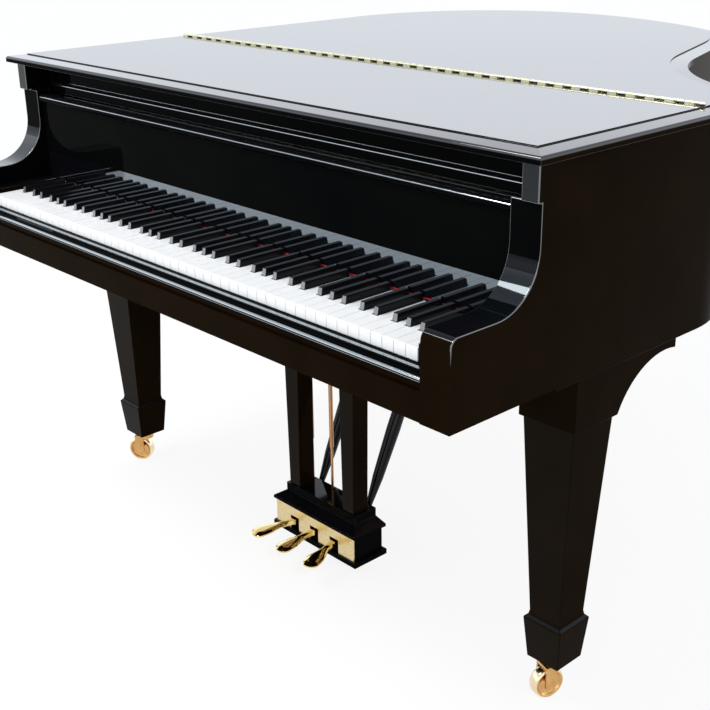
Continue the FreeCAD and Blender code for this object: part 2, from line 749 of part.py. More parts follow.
def bridge_strip(notes, top, clearance):
    left = []
    right = []
    spots = [STRINGS[note][2] for note in notes]
    half = BRIDGE_WIDTH / 2 + clearance
    for index, spot in enumerate(spots):
        ahead = spots[min(index + 1, len(spots) - 1)] - spots[max(index - 1, 0)]
        ahead = Vec(ahead.x, ahead.y, 0).normalize()
        side = Vec(-ahead.y, ahead.x, 0) * half
        reach = ahead * (half * ((index == len(spots) - 1) - (index == 0)))
        left.append((spot.x + reach.x + side.x, spot.y + reach.y + side.y))
        right.append((spot.x + reach.x - side.x, spot.y + reach.y - side.y))
    return plan_prism(left + right[::-1], SOUNDBOARD_TOP, top + clearance)


def bridge_solids(clearance):
    treble_top = STRING_HEIGHT - TREBLE_RADIUS - BRIDGE_GAP
    bass_top = STRING_HEIGHT + BASS_RISE - BASS_RADIUS - BRIDGE_GAP
    treble = bridge_strip(treble_stations(), treble_top, clearance)
    bass = bridge_strip([0, BASS_NOTES - 1], bass_top, clearance)
    return [treble, bass]


def bridges():
    return Part.makeCompound(bridge_solids(0))


# Keys: one node for each note name
def sharp_centre(white):
    letter = WHITE_LETTERS[white % len(WHITE_LETTERS)]
    if letter not in SHARP_OFFSET_SHARES or not 0 <= white < WHITE_COUNT - 1:
        return None
    boundary = -KEYBOARD_HALF + (white + 1) * KEY_PITCH
    return boundary + SHARP_OFFSET_SHARES[letter] * KEY_PITCH


def white_key(white):
    left = -KEYBOARD_HALF + white * KEY_PITCH + KEY_GAP / 2
    right = left + KEY_PITCH - KEY_GAP
    before = sharp_centre(white - 1)
    after = sharp_centre(white)
    tail_left = left if before is None else before + SHARP_SLOT / 2
    tail_right = right if after is None else after - SHARP_SLOT / 2
    head = box(left, right, 0, KEY_HEAD, KEY_BOTTOM, KEY_TOP)
    tail = box(tail_left, tail_right, KEY_HEAD, KEY_VISIBLE, KEY_BOTTOM, KEY_TOP)
    stick = box(tail_left, tail_right, KEY_VISIBLE, KEY_LENGTH, KEY_BOTTOM, STICK_TOP)
    return fused([head, tail, stick])


def black_key(white):
    x = sharp_centre(white)
    half = SHARP_WIDTH / 2
    stick = box(x - half, x + half, KEY_HEAD + KEY_GAP, KEY_LENGTH, KEY_BOTTOM, STICK_TOP)
    top_half = SHARP_TOP_WIDTH / 2
    front = KEY_HEAD + KEY_GAP
    top = KEY_TOP + SHARP_RISE
    low = [Vec(x - half, front, STICK_TOP), Vec(x + half, front, STICK_TOP),
           Vec(x + half, KEY_VISIBLE, STICK_TOP), Vec(x - half, KEY_VISIBLE, STICK_TOP)]
    high = [Vec(x - top_half, front + SHARP_SLOPE, top), Vec(x + top_half, front + SHARP_SLOPE, top),
            Vec(x + top_half, KEY_VISIBLE, top), Vec(x - top_half, KEY_VISIBLE, top)]
    cap = Part.makeLoft([Part.makePolygon(low + low[:1]), Part.makePolygon(high + high[:1])], True, True)
    return fused([stick, cap])


def key_nodes():
    groups = {}
    for white in range(WHITE_COUNT):
        letter = WHITE_LETTERS[white % len(WHITE_LETTERS)]
        groups.setdefault("keys_" + letter, []).append(white_key(white))
        if sharp_centre(white) is not None:
            groups.setdefault("keys_" + letter + "_sharp", []).append(black_key(white))
    return {name: Part.makeCompound(solids) for name, solids in groups.items()}


# Key frame and action
def key_frame():
    floor = KEYBED_TOP + FIT_GAP
    strip_top = floor + FRAME_STRIP
    front_half = KEYBOARD_HALF
    y0 = FRONT_RAIL_Y - FRONT_RAIL_HALF
    y1 = BALANCE_Y - BALANCE_HALF
    front = box(-front_half, front_half, y0, FRONT_RAIL_Y + FRONT_RAIL_HALF, floor, floor + FRONT_RAIL_HEIGHT)
    balance = box(-CHEEK_OUTER, CHEEK_OUTER, y1, BALANCE_Y + BALANCE_HALF, floor, KEY_BOTTOM - BALANCE_GAP)
    back = box(-CHEEK_OUTER, CHEEK_OUTER, BACK_RAIL_Y - BACK_RAIL_HALF, BACK_RAIL_Y + BACK_RAIL_HALF,
               floor, KEY_BOTTOM - FIT_GAP)
    cheek_top = SHANK_Z + HAMMER_RAIL_HEIGHT / 2
    cheek = box(ACTION_HALF, CHEEK_OUTER, CHEEK_FRONT, CHEEK_BACK, floor, cheek_top)
    pieces = [front, balance, back, cheek, mirrored(cheek)]
    for index in range(STRIP_COUNT):
        x = (2 * index / (STRIP_COUNT - 1) - 1) * (front_half - STRIP_WIDTH)
        pieces.append(box(x - STRIP_WIDTH / 2, x + STRIP_WIDTH / 2, y0, BACK_RAIL_Y, floor, strip_top))
    return fused(pieces)


def hammer_action():
    half = ACTION_HALF
    rail_z = SHANK_Z - HAMMER_RAIL_HEIGHT / 2
    rail = box(-half, half, HAMMER_PIVOT_Y - HAMMER_RAIL_DEPTH, HAMMER_PIVOT_Y,
               rail_z, rail_z + HAMMER_RAIL_HEIGHT)
    wippen_rail = box(-half, half, WIPPEN_BACK, WIPPEN_BACK + WIPPEN_RAIL_DEPTH,
                      WIPPEN_BOTTOM, WIPPEN_BOTTOM + WIPPEN_HEIGHT)
    pieces = [rail, wippen_rail]
    s = SHANK_SIZE / 2
    for note in range(NOTE_COUNT):
        x = note_x(note)
        lift = BASS_RISE if note < BASS_NOTES else 0
        shank = box(x - s, x + s, HAMMER_PIVOT_Y, STRIKE_Y + HEAD_LENGTH / 2, SHANK_Z - s, SHANK_Z + s)
        bottom = SHANK_Z + s
        top = STRING_HEIGHT + lift - STRIKE_DISTANCE
        back = HEAD_LENGTH / 2
        nose = HEAD_NOSE / 2
        profile = [(STRIKE_Y - back, bottom), (STRIKE_Y + back, bottom),
                   (STRIKE_Y + nose, top), (STRIKE_Y - nose, top)]
        head = side_polygon(profile, x - HEAD_WIDTH / 2, x + HEAD_WIDTH / 2)
        wippen = box(x - WIPPEN_WIDTH / 2, x + WIPPEN_WIDTH / 2, WIPPEN_FRONT, WIPPEN_BACK,
                     WIPPEN_BOTTOM, WIPPEN_BOTTOM + WIPPEN_HEIGHT)
        pieces += [shank, head, wippen]
    return Part.makeCompound(pieces)


def dampers():
    half = ACTION_HALF
    y0 = DAMPER_Y - DAMPER_RAIL_DEPTH / 2
    pieces = [box(-half, half, y0, y0 + DAMPER_RAIL_DEPTH,
                  DAMPER_RAIL_TOP - DAMPER_RAIL_THICKNESS, DAMPER_RAIL_TOP)]
    for note in range(DAMPER_COUNT):
        start, end, bridge = STRINGS[note]
        bass = note < BASS_NOTES
        slope = (end.x - start.x) / (end.y - start.y)
        x = start.x + slope * (DAMPER_Y - start.y)
        bottom = start.z + (BASS_RADIUS if bass else TREBLE_RADIUS) + DAMPER_GAP
        w = DAMPER_WIDTH / 2
        y1 = DAMPER_Y - DAMPER_LENGTH / 2
        pieces.append(box(x - w, x + w, y1, y1 + DAMPER_LENGTH, bottom, bottom + DAMPER_HEIGHT))
        wire_x = x - DAMPER_WIRE_OFFSET if bass else x + DAMPER_WIRE_OFFSET
        foot = Vec(wire_x, DAMPER_Y, DAMPER_RAIL_TOP)
        pieces.append(rod(foot, Vec(foot.x, foot.y, bottom), DAMPER_WIRE))
    return Part.makeCompound(pieces)


# Covers
def fallboard():
    half = ARM_INNER - FALL_GAP
    back = FALL_FACE + FALL_THICKNESS
    nose_top = FALL_TOP - NOSE_DROP
    nose_low = nose_top - 2 * NOSE_RADIUS
    nose_front = (FALL_FACE - NOSE_RADIUS - NOSE_DROP, nose_top - NOSE_RADIUS)
    edges = [
        side_line((back, FALL_BOTTOM), (FALL_FACE, FALL_BOTTOM)),
        side_line((FALL_FACE, FALL_BOTTOM), (FALL_FACE, nose_low)),
        side_arc((FALL_FACE, nose_low), nose_front, (FALL_FACE, nose_top)),
        side_line((FALL_FACE, nose_top), (FALL_FACE + NOSE_DROP, FALL_TOP)),
        side_line((FALL_FACE + NOSE_DROP, FALL_TOP), (back, FALL_TOP)),
        side_line((back, FALL_TOP), (back, FALL_BOTTOM)),
    ]
    return profile_bar(edges, -half, half)


def music_desk_tray():
    back = TRAY_FRONT + TRAY_LENGTH
    top = TRAY_BOTTOM + TRAY_THICKNESS
    board = box(-TRAY_HALF, TRAY_HALF, TRAY_FRONT, back, TRAY_BOTTOM, top)
    hole = box(-TRAY_HALF + TRAY_BORDER, TRAY_HALF - TRAY_BORDER, TRAY_FRONT + TRAY_BORDER,
               back - TRAY_BORDER / 2, TRAY_BOTTOM - OVERRUN, top + OVERRUN)
    r = TRAY_RAIL_CHAMFER
    rail_top = TRAY_BOTTOM + TRAY_RAIL_HEIGHT
    rail_back = TRAY_FRONT + TRAY_RAIL_DEPTH
    rail = side_polygon([(TRAY_FRONT, TRAY_BOTTOM), (rail_back, TRAY_BOTTOM), (rail_back, rail_top),
                         (TRAY_FRONT + r, rail_top), (TRAY_FRONT, rail_top - r)], -TRAY_HALF, TRAY_HALF)
    lip = box(-TRAY_HALF, TRAY_HALF, rail_back - TRAY_LIP_DEPTH, rail_back,
              rail_top, rail_top + TRAY_LIP_HEIGHT)
    return fused([board.cut(hole), rail, lip])


def desk_slides():
    top = TRAY_BOTTOM - SLIDE_GAP
    y0 = ARM_BACK
    slide = box(RIM_INNER - SLIDE_WIDTH, RIM_INNER, y0, TRAY_FRONT + TRAY_LENGTH, top - SLIDE_HEIGHT, top)
    return both_sides(slide)


def music_desk():
    y0 = TRAY_FRONT + TRAY_RAIL_DEPTH + DESK_SETBACK
    z0 = TRAY_BOTTOM + TRAY_THICKNESS + DESK_GAP
    return box(-DESK_HALF, DESK_HALF, y0, y0 + DESK_LENGTH, z0, z0 + DESK_THICKNESS)


def rectangle_wire(x, y0, y1, z):
    points = [Vec(-x, y0, z), Vec(x, y0, z), Vec(x, y1, z), Vec(-x, y1, z)]
    return Part.makePolygon(points + points[:1])


def lid_levels():
    edge = LID_BOTTOM + LID_EDGE
    return edge, edge + LID_BEVEL_RISE


def lid():
    front = SEAM_Y + SEAM_GAP / 2
    edge, field = lid_levels()
    inner = LID_FIELD_INSET - LID_OVERHANG
    slab = outline_prism(-LID_OVERHANG, front, LID_BOTTOM, edge)
    wires = [outline_wire(-LID_OVERHANG, front, edge), outline_wire(inner, front, field)]
    bevel = Part.makeLoft(wires, True, True)
    top = outline_prism(inner, front, field, LID_TOP)
    return slab.fuse([bevel, top, prop_cup()]).cut(hinge_rebate(front, front + LEAF_WIDTH))


def hinge_rebate(y0, y1):
    half = HALF + LID_OVERHANG - LID_FIELD_INSET
    return box(-half, half, y0, y1, LID_TOP - LEAF_THICKNESS, LID_TOP)


def prop_cup():
    pivot, stowed, raised, axis = prop_frame()
    tip = pivot + raised * PROP_LENGTH
    hinge = Vec(SIDE_HINGE_X, tip.y, SIDE_HINGE_Z)
    lower = FreeCAD.Rotation(Vec(0, 1, 0), LID_OPEN_ANGLE)
    spot = hinge + lower.multVec(tip - hinge)
    foot = Vec(spot.x, spot.y, LID_BOTTOM - PROP_CUP_HEIGHT)
    return rod(foot, Vec(spot.x, spot.y, LID_BOTTOM + LID_EDGE / 2), PROP_CUP_RADIUS)


def lid_front_flap():
    back = SEAM_Y - SEAM_GAP / 2
    edge, field = lid_levels()
    outer = HALF + LID_OVERHANG
    inner = outer - LID_FIELD_INSET
    inner_front = LID_FRONT + LID_FIELD_INSET
    slab = box(-outer, outer, LID_FRONT, back, LID_BOTTOM, edge)
    bevel = Part.makeLoft([rectangle_wire(outer, LID_FRONT, back, edge),
                           rectangle_wire(inner, inner_front, back, field)], True, True)
    top = box(-inner, inner, inner_front, back, field, LID_TOP)
    return slab.fuse([bevel, top]).cut(hinge_rebate(back - LEAF_WIDTH, back))


# Long hinge: leaves let in flush, and knuckles that alternate on one pin
def flap_hinge(front_leaf):
    half = HALF + LID_OVERHANG - LID_FIELD_INSET
    count = 2 * int(half / KNUCKLE_LENGTH)
    pitch = 2 * half / count
    side = -1 if front_leaf else 1
    reach = SEAM_GAP / 2
    low = LID_TOP - LEAF_THICKNESS
    leaf_y = sorted((SEAM_Y + side * reach, SEAM_Y + side * (LEAF_WIDTH + reach)))
    root_y = sorted((SEAM_Y + side * reach, SEAM_Y + side * KNUCKLE_RADIUS))
    pieces = [box(-half, half, leaf_y[0], leaf_y[1], low, LID_TOP)]
    gap = Vec(KNUCKLE_GAP / 2, 0, 0)
    for index in range(count):
        if (index % 2 == 0) != front_leaf:
            continue
        start = Vec(-half + index * pitch, SEAM_Y, FLAP_AXIS_Z) + gap
        end = start + Vec(pitch, 0, 0) - gap * 2
        root = box(start.x, end.x, root_y[0], root_y[1], low, FLAP_AXIS_Z)
        pieces.append(rod(start, end, KNUCKLE_RADIUS).fuse(root))
    line = (Vec(-half, SEAM_Y, FLAP_AXIS_Z), Vec(half, SEAM_Y, FLAP_AXIS_Z))
    if front_leaf:
        return fused(pieces).cut(rod(line[0], line[1], KNUCKLE_PIN + PIN_CLEARANCE))
    return fused(pieces + [rod(line[0], line[1], KNUCKLE_PIN)])


# Case hinges: two rim knuckles with the pin, and one lid knuckle between them
def side_hinges(on_lid):
    pieces = []
    pin = SIDE_HINGE_RADIUS / 2
    for y in SIDE_HINGE_PLACES:
        axis = Vec(SIDE_HINGE_X, y, SIDE_HINGE_Z)
        along = Vec(0, SIDE_KNUCKLE / 2, 0)
        if on_lid:
            gap = Vec(0, KNUCKLE_GAP, 0)
            knuckle = rod(axis - along + gap, axis + along - gap, SIDE_HINGE_RADIUS)
            neck = box(SIDE_HINGE_X - SIDE_LEAF, SIDE_HINGE_X + SIDE_LEAF,
                       y - along.y + gap.y, y + along.y - gap.y, SIDE_HINGE_Z, LID_BOTTOM)
            bore = rod(axis - along * 2, axis + along * 2, pin + PIN_CLEARANCE)
            pieces.append(knuckle.fuse(neck).cut(bore))
        else:
            leaf = box(-HALF - SIDE_LEAF, -HALF, y - 3 * along.y, y + 3 * along.y,
                       SIDE_HINGE_Z - SIDE_LEAF_HEIGHT, SIDE_HINGE_Z)
            low = rod(axis - along * 3, axis - along, SIDE_HINGE_RADIUS)
            high = rod(axis + along, axis + along * 3, SIDE_HINGE_RADIUS)
            core = rod(axis - along * 3, axis + along * 3, pin)
            clear = rod(axis - along, axis + along, SIDE_HINGE_RADIUS + KNUCKLE_GAP).cut(core)
            pieces.append(fused([leaf, low, high, core]).cut(clear))
    return Part.makeCompound(pieces)


def lid_prop():
    pivot, stowed, raised, axis = prop_frame()
    eye = rod(pivot - axis * PROP_EYE_HALF, pivot + axis * PROP_EYE_HALF, PROP_EYE_RADIUS)
    stick = rod(pivot, pivot + stowed * PROP_LENGTH, PROP_RADIUS)
    reach = axis * PROP_LENGTH / 2
    bore = rod(pivot - reach, pivot + reach, PROP_PIN_RADIUS + PIN_CLEARANCE)
    ears = [rod(pivot + axis * side * PROP_EYE_HALF,
                pivot + axis * side * (PROP_EYE_HALF + PROP_RADIUS), PROP_EYE_RADIUS + PROP_EAR_GAP)
            for side in (-1, 1)]
    return stick.cut(ears[0].fuse(ears[1])).fuse(eye).cut(bore)


def prop_bracket():
    pivot, stowed, raised, axis = prop_frame()
    near = PROP_EYE_HALF + PROP_EAR_GAP
    far = near + PROP_EAR
    pin = rod(pivot - axis * far, pivot + axis * far, PROP_PIN_RADIUS)
    ear = rod(pivot - axis * near, pivot - axis * far, PROP_EYE_RADIUS)
    cap = rod(pivot + axis * near, pivot + axis * far, PROP_EYE_RADIUS - PROP_PIN_RADIUS)
    room = rod(pivot - axis * near, pivot + axis * far, PROP_EYE_RADIUS + PROP_EAR_GAP)
    wall = run_point(RIM_WALL)
    outward = Vec(wall.x - pivot.x, wall.y - pivot.y, 0).normalize()
    side = Vec(-outward.y, outward.x, 0) * (PROP_EYE_RADIUS - PROP_EAR)
    root = Vec(wall.x, wall.y, 0) + outward * OVERRUN
    end = pivot - axis * near
    plan = [(root + side)[0:2], (root - side)[0:2], (end - side)[0:2], (end + side)[0:2]]
    arm = plan_prism(plan, pivot.z - PROP_FOOT, pivot.z + PROP_FOOT).cut(room)
    inside = outline_prism(RIM_WALL, ARM_BACK, RIM_BOTTOM, RIM_TOP)
    return fused([pin, ear, cap, arm]).common(inside)


# Stand
def leg(x, y):
    shank = square_loft(x, y, [(LEG_ANKLE_HALF, LEG_ANKLE), (LEG_TOP_HALF, BRACKET_BOTTOM)])
    shoulder = square_loft(x, y, [(SPADE_TOP_HALF, SPADE_TOP), (COVE_HALF, COVE), (LEG_ANKLE_HALF, LEG_ANKLE)])
    spade = square_loft(x, y, [(SPADE_BOTTOM_HALF, SPADE_BOTTOM), (SPADE_TOP_HALF, SPADE_TOP)])
    socket = rod(Vec(x, y, SPADE_BOTTOM - OVERRUN), Vec(x, y, SPADE_BOTTOM + STEM_LENGTH + OVERRUN),
                 STEM_RADIUS + STEM_CLEARANCE)
    return fused([shank, shoulder, spade]).cut(socket)


def leg_bracket(x, y, top):
    half = BRACKET_HALF
    return box(x - half, x + half, y - half, y + half, BRACKET_BOTTOM, top)


def knee(x, y, top):
    start = y + BRACKET_HALF
    end = start + KNEE_LENGTH
    tip = top - KNEE_TIP
    bend = QUARTER_MID_SHARE
    drop = tip - BRACKET_BOTTOM
    middle = (end - KNEE_LENGTH * bend, BRACKET_BOTTOM + drop * bend)
    edges = [
        side_line((start, top), (start, BRACKET_BOTTOM)),
        side_arc((start, BRACKET_BOTTOM), middle, (end, tip)),
        side_line((end, tip), (end, top)),
        side_line((end, top), (start, top)),
    ]
    return profile_bar(edges, x - BRACKET_HALF, x + BRACKET_HALF)


def leg_brackets():
    pieces = []
    for side in (-1, 1):
        x = side * LEG_X
        whole = fused([leg_bracket(x, LEG_Y, KEYBED_BOTTOM), knee(x, LEG_Y, RIM_BOTTOM)])
        rim_room = box(-HALF - OVERRUN, HALF + OVERRUN, ARM_BACK, TAIL_Y, RIM_BOTTOM, RIM_TOP)
        rim_room = rim_room.cut(box(-RIM_INNER, RIM_INNER, ARM_BACK, TAIL_Y, RIM_BOTTOM, RIM_TOP))
        pieces.append(whole.cut(rim_room))
    pieces.append(leg_bracket(REAR_LEG_X, REAR_LEG_Y, RIM_BOTTOM))
    return Part.makeCompound(pieces)


LEG_SPOTS = {
    "front_left": (-LEG_X, LEG_Y),
    "front_right": (LEG_X, LEG_Y),
    "rear": (REAR_LEG_X, REAR_LEG_Y),
}


def caster_frame(x, y):
    angle = math.radians(CASTER_RIGHT_ANGLE if x > HALF / 2 else CASTER_TRAIL_ANGLE)
    trail = Vec(math.cos(angle), math.sin(angle), 0)
    axle = Vec(-trail.y, trail.x, 0)
    return Vec(x, y, CASTER_RADIUS) + trail * CASTER_TRAIL, trail, axle


def caster_fork(x, y):
    hub, trail, axle = caster_frame(x, y)
    inner = CASTER_WIDTH / 2 + FORK_GAP
    outer = inner + FORK_WALL
    crown_low = 2 * CASTER_RADIUS + FORK_GAP
    turn = FreeCAD.Rotation(Vec(1, 0, 0), trail)
    pieces = []
    for side in (-1, 1):
        near, far = sorted((side * inner, side * outer))
        cheek = box(-FORK_HALF_DEPTH, FORK_HALF_DEPTH, near, far, CASTER_RADIUS, crown_low + FORK_CROWN)
        cheek = cheek.fuse(rod(Vec(0, near, CASTER_RADIUS), Vec(0, far, CASTER_RADIUS), FORK_HALF_DEPTH))
        pieces.append(cheek)
    crown = box(-FORK_HALF_DEPTH, FORK_HALF_DEPTH, -outer, outer, crown_low, crown_low + FORK_CROWN)
    pieces.append(crown)
    pieces.append(rod(Vec(0, -outer, CASTER_RADIUS), Vec(0, outer, CASTER_RADIUS), AXLE_RADIUS))
    cheeks = fused(pieces)
    cheeks.Placement = FreeCAD.Placement(Vec(hub.x, hub.y, 0), turn)
    disc = rod(Vec(x, y, crown_low), Vec(x, y, SPADE_BOTTOM - FIT_GAP), CROWN_RADIUS)
    stem = rod(Vec(x, y, crown_low), Vec(x, y, SPADE_BOTTOM + STEM_LENGTH), STEM_RADIUS)
    return fused([cheeks, disc, stem])


def caster_wheel(x, y):
    hub, trail, axle = caster_frame(x, y)
    half = axle * (CASTER_WIDTH / 2)
    wheel = rod(hub - half, hub + half, CASTER_RADIUS)
    wheel = wheel.makeFillet(WHEEL_ROUND, [e for e in wheel.Edges if len(e.Vertexes) == 1])
    return wheel.cut(rod(hub - axle * CASTER_WIDTH, hub + axle * CASTER_WIDTH, AXLE_RADIUS + AXLE_CLEARANCE))


# Pedal lyre
def lyre_posts():
    head_low = KEYBED_BOTTOM - LYRE_HEAD_HEIGHT
    centre = LYRE_CENTRE
    back = LYRE_FRONT + POST_DEPTH
    pieces = [box(centre - LYRE_HEAD_HALF, centre + LYRE_HEAD_HALF, LYRE_FRONT, back,
                  head_low, KEYBED_BOTTOM)]
    for side in (-1, 1):
        x = centre + side * POST_SPACING
        wires = []
        for half, z in ((POST_FOOT_HALF, CAP_TOP), (POST_TOP_HALF, head_low)):
            corners = [Vec(x - half, LYRE_FRONT, z), Vec(x + half, LYRE_FRONT, z),
                       Vec(x + half, back, z), Vec(x - half, back, z)]
            wires.append(Part.makePolygon(corners + corners[:1]))
        pieces.append(Part.makeLoft(wires, True, True))
    return fused(pieces)


def base_box(out, back_out, z0, z1):
    half = BASE_HALF + out
    return box(LYRE_CENTRE - half, LYRE_CENTRE + half, BASE_FRONT - out, BASE_BACK + back_out, z0, z1)


def base_wire(out, back_out, z):
    left = LYRE_CENTRE - BASE_HALF - out
    right = LYRE_CENTRE + BASE_HALF + out
    front = BASE_FRONT - out
    back = BASE_BACK + back_out
    corners = [Vec(left, front, z), Vec(right, front, z), Vec(right, back, z), Vec(left, back, z)]
    return Part.makePolygon(corners + corners[:1])


def lyre_base():
    edge = CORNICE_BOTTOM + CORNICE_EDGE
    body = base_box(0, 0, BASE_BOTTOM, CORNICE_BOTTOM)
    plinth = base_box(PLINTH_OUT, PLINTH_OUT, BASE_BOTTOM, BASE_BOTTOM + PLINTH_HEIGHT)
    cornice = base_box(CORNICE_OUT, CORNICE_OUT, CORNICE_BOTTOM, edge)
    wires = [base_wire(CORNICE_OUT, CORNICE_OUT, edge), base_wire(-CAP_IN, -CAP_BACK_IN, BASE_TOP)]
    slope = Part.makeLoft(wires, True, True)
    cap = base_box(-CAP_IN, -CAP_BACK_IN, BASE_TOP, CAP_TOP)
    solid = fused([body, plinth, cornice, slope, cap])
    left, right = pedal_room()
    cavity = box(left, right, BASE_FRONT - PLINTH_OUT - OVERRUN, BASE_BACK - BASE_WALL,
                 BASE_BOTTOM + PLINTH_HEIGHT, CORNICE_BOTTOM)
    solid = solid.cut(cavity)
    for x in pedal_places().values():
        low = Vec(x + ROD_OFFSET, ROD_Y, CORNICE_BOTTOM - OVERRUN)
        high = Vec(x + ROD_OFFSET, ROD_Y, CAP_TOP + OVERRUN)
        solid = solid.cut(rod(low, high, ROD_RADIUS + ROD_HOLE_GAP))
    return solid


def pedal_places():
    return {"left": LYRE_CENTRE - PEDAL_SPACING, "middle": LYRE_CENTRE, "right": LYRE_CENTRE + PEDAL_SPACING}


def pedal_room():
    reach = PEDAL_SPACING + PEDAL_TOE / 2 + CAVITY_MARGIN
    return LYRE_CENTRE - reach + ROD_OFFSET / 2, LYRE_CENTRE + reach


def pedal_plate():
    low = BASE_BOTTOM + PLINTH_HEIGHT
    plate = box(LYRE_CENTRE - PLATE_HALF, LYRE_CENTRE + PLATE_HALF, BASE_FRONT - PLATE_THICKNESS, BASE_FRONT,
                low, CORNICE_BOTTOM)
    for x in pedal_places().values():
        plate = plate.cut(box(x - SLOT_WIDTH / 2, x + SLOT_WIDTH / 2, BASE_FRONT - PLATE_THICKNESS - OVERRUN,
                              BASE_FRONT + OVERRUN, low - OVERRUN, SLOT_TOP))
    left, right = pedal_room()
    pin = rod(Vec(left, PEDAL_PIVOT_Y, PEDAL_Z), Vec(right, PEDAL_PIVOT_Y, PEDAL_Z), PEDAL_PIN_RADIUS)
    return Part.makeCompound([plate, pin])


# Braces stand on the slope of the base, swell towards the middle and slim to their heads
def lyre_braces():
    pieces = []
    room = box(-HALF, HALF, ARM_FRONT, TAIL_Y, CORNICE_BOTTOM + CORNICE_EDGE, RIM_BOTTOM)
    base = lyre_base()
    for side in (-1, 1):
        foot = Vec(LYRE_CENTRE + side * BRACE_FOOT_X, BRACE_FOOT_Y, CORNICE_BOTTOM)
        head = Vec(LYRE_CENTRE + side * BRACE_HEAD_X, BRACE_HEAD_Y, RIM_BOTTOM)
        along = head - foot
        head = head + Vec(along).normalize() * BRACE_HEAD_RADIUS
        along = head - foot
        steps = [(0, BRACE_FOOT_RADIUS), (BRACE_CALF_SHARE, BRACE_CALF_RADIUS),
                 (BRACE_BELLY_SHARE, BRACE_BELLY_RADIUS), (1, BRACE_HEAD_RADIUS)]
        cones = []
        for (share, radius), (next_share, next_radius) in zip(steps, steps[1:]):
            length = along.Length * (next_share - share)
            cones.append(Part.makeCone(radius, next_radius, length, foot + along * share, along))
        pieces.append(fused(cones).common(room).cut(base))
    return Part.makeCompound(pieces)


def pedal(name):
    x = pedal_places()[name]
    lean = {"left": -PEDAL_FAN, "middle": 0, "right": PEDAL_FAN}[name]
    z0 = PEDAL_Z - PEDAL_HEIGHT / 2
    z1 = PEDAL_Z + PEDAL_HEIGHT / 2
    w = PEDAL_SHANK / 2
    front = BASE_FRONT - PLATE_THICKNESS - w
    shank = box(x - w, x + w, front, PEDAL_REAR_Y, z0, z1)
    tail = box(x + ROD_OFFSET - PEDAL_TAIL, x + w, PEDAL_REAR_Y - PEDAL_TAIL,
               PEDAL_REAR_Y + PEDAL_TAIL / 2, z0, z1)
    length = front - PEDAL_TIP_Y + w
    toe_half = PEDAL_TOE / 2
    left = []
    for along_share, wide_share in PEDAL_TOE_SHARES:
        left.append(Vec(-toe_half * wide_share, -length * along_share, 0))
    right = [Vec(-p.x, p.y, 0) for p in left]
    tip = Vec(0, -length, 0)
    side = Part.BSplineCurve()
    side.interpolate(left)
    other = Part.BSplineCurve()
    other.interpolate(right[::-1])
    round_tip = Part.Arc(left[-1], tip, right[-1]).toShape()
    back = Part.LineSegment(right[0], left[0]).toShape()
    face = Part.Face(Part.Wire([side.toShape(), round_tip, other.toShape(), back]))
    toe = face.extrude(Vec(0, 0, PEDAL_HEIGHT))
    toe.Placement = FreeCAD.Placement(Vec(x, front + w, z0), FreeCAD.Rotation(Vec(0, 0, 1), lean))
    bore = rod(Vec(x - PEDAL_TOE, PEDAL_PIVOT_Y, PEDAL_Z), Vec(x + PEDAL_TOE, PEDAL_PIVOT_Y, PEDAL_Z),
               PEDAL_PIN_RADIUS + PEDAL_PIN_CLEARANCE)
    return fused([shank, tail, toe]).cut(bore)


def pedal_rod(name):
    x = pedal_places()[name] + ROD_OFFSET
    low = PEDAL_Z + PEDAL_HEIGHT / 2 + ROD_LIFT_GAP
    thin = rod(Vec(x, ROD_Y, low), Vec(x, ROD_Y, KEYBED_BOTTOM - ROD_HEAD_GAP), ROD_RADIUS)
    sleeve_low = Vec(x, ROD_Y, ROD_SLEEVE_LOW)
    sleeve = rod(sleeve_low, sleeve_low + Vec(0, 0, ROD_SLEEVE_LENGTH), ROD_SLEEVE_RADIUS)
    return fused([thin, sleeve])


def all_nodes():
    nodes = {
        "outer_rim": outer_rim(),
        "inner_rim": inner_rim(),
        "arms": arms(),
        "keybed": keybed(),
        "key_slip": key_slip(),
        "key_blocks": key_blocks(),
        "back_beams": back_beams(),
        "soundboard": soundboard(),
        "bridges": bridges(),
        "pin_block": pin_block(),
        "iron_plate": iron_plate(),
        "tuning_pins": tuning_pins(),
        "strings": strings(),
        "key_frame": key_frame(),
        "hammer_action": hammer_action(),
        "dampers": dampers(),
        "fallboard": fallboard(),
        "music_desk_tray": music_desk_tray(),
        "desk_slides": desk_slides(),
        "music_desk": music_desk(),
        "lid": lid(),
        "lid_front_flap": lid_front_flap(),
        "flap_hinge_front_leaf": flap_hinge(True),
        "flap_hinge_rear_leaf": flap_hinge(False),
        "lid_hinge_case_leaves": side_hinges(False),
        "lid_hinge_lid_leaves": side_hinges(True),
        "lid_prop": lid_prop(),
        "prop_bracket": prop_bracket(),
        "leg_brackets": leg_brackets(),
        "lyre_posts": lyre_posts(),
        "lyre_base": lyre_base(),
        "lyre_braces": lyre_braces(),
        "pedal_plate": pedal_plate(),
    }
    for place, (x, y) in LEG_SPOTS.items():
        nodes["leg_" + place] = leg(x, y)
        nodes["caster_fork_" + place] = caster_fork(x, y)
        nodes["caster_wheel_" + place] = caster_wheel(x, y)
    for name in pedal_places():
        nodes["pedal_" + name] = pedal(name)
        nodes["pedal_rod_" + name] = pedal_rod(name)
    nodes.update(key_nodes())
    return nodes


# Move every piece so that the origin is on the floor at the middle of the piano, and write it
os.makedirs("parts", exist_ok=True)
CENTRE_Y = (ARM_FRONT + TAIL_Y) / 2
for node_name, node_shape in all_nodes().items():
    placed = node_shape.copy()
    placed.translate(Vec(0, -CENTRE_Y, 0))
    placed.exportStep("parts/" + node_name + ".step")
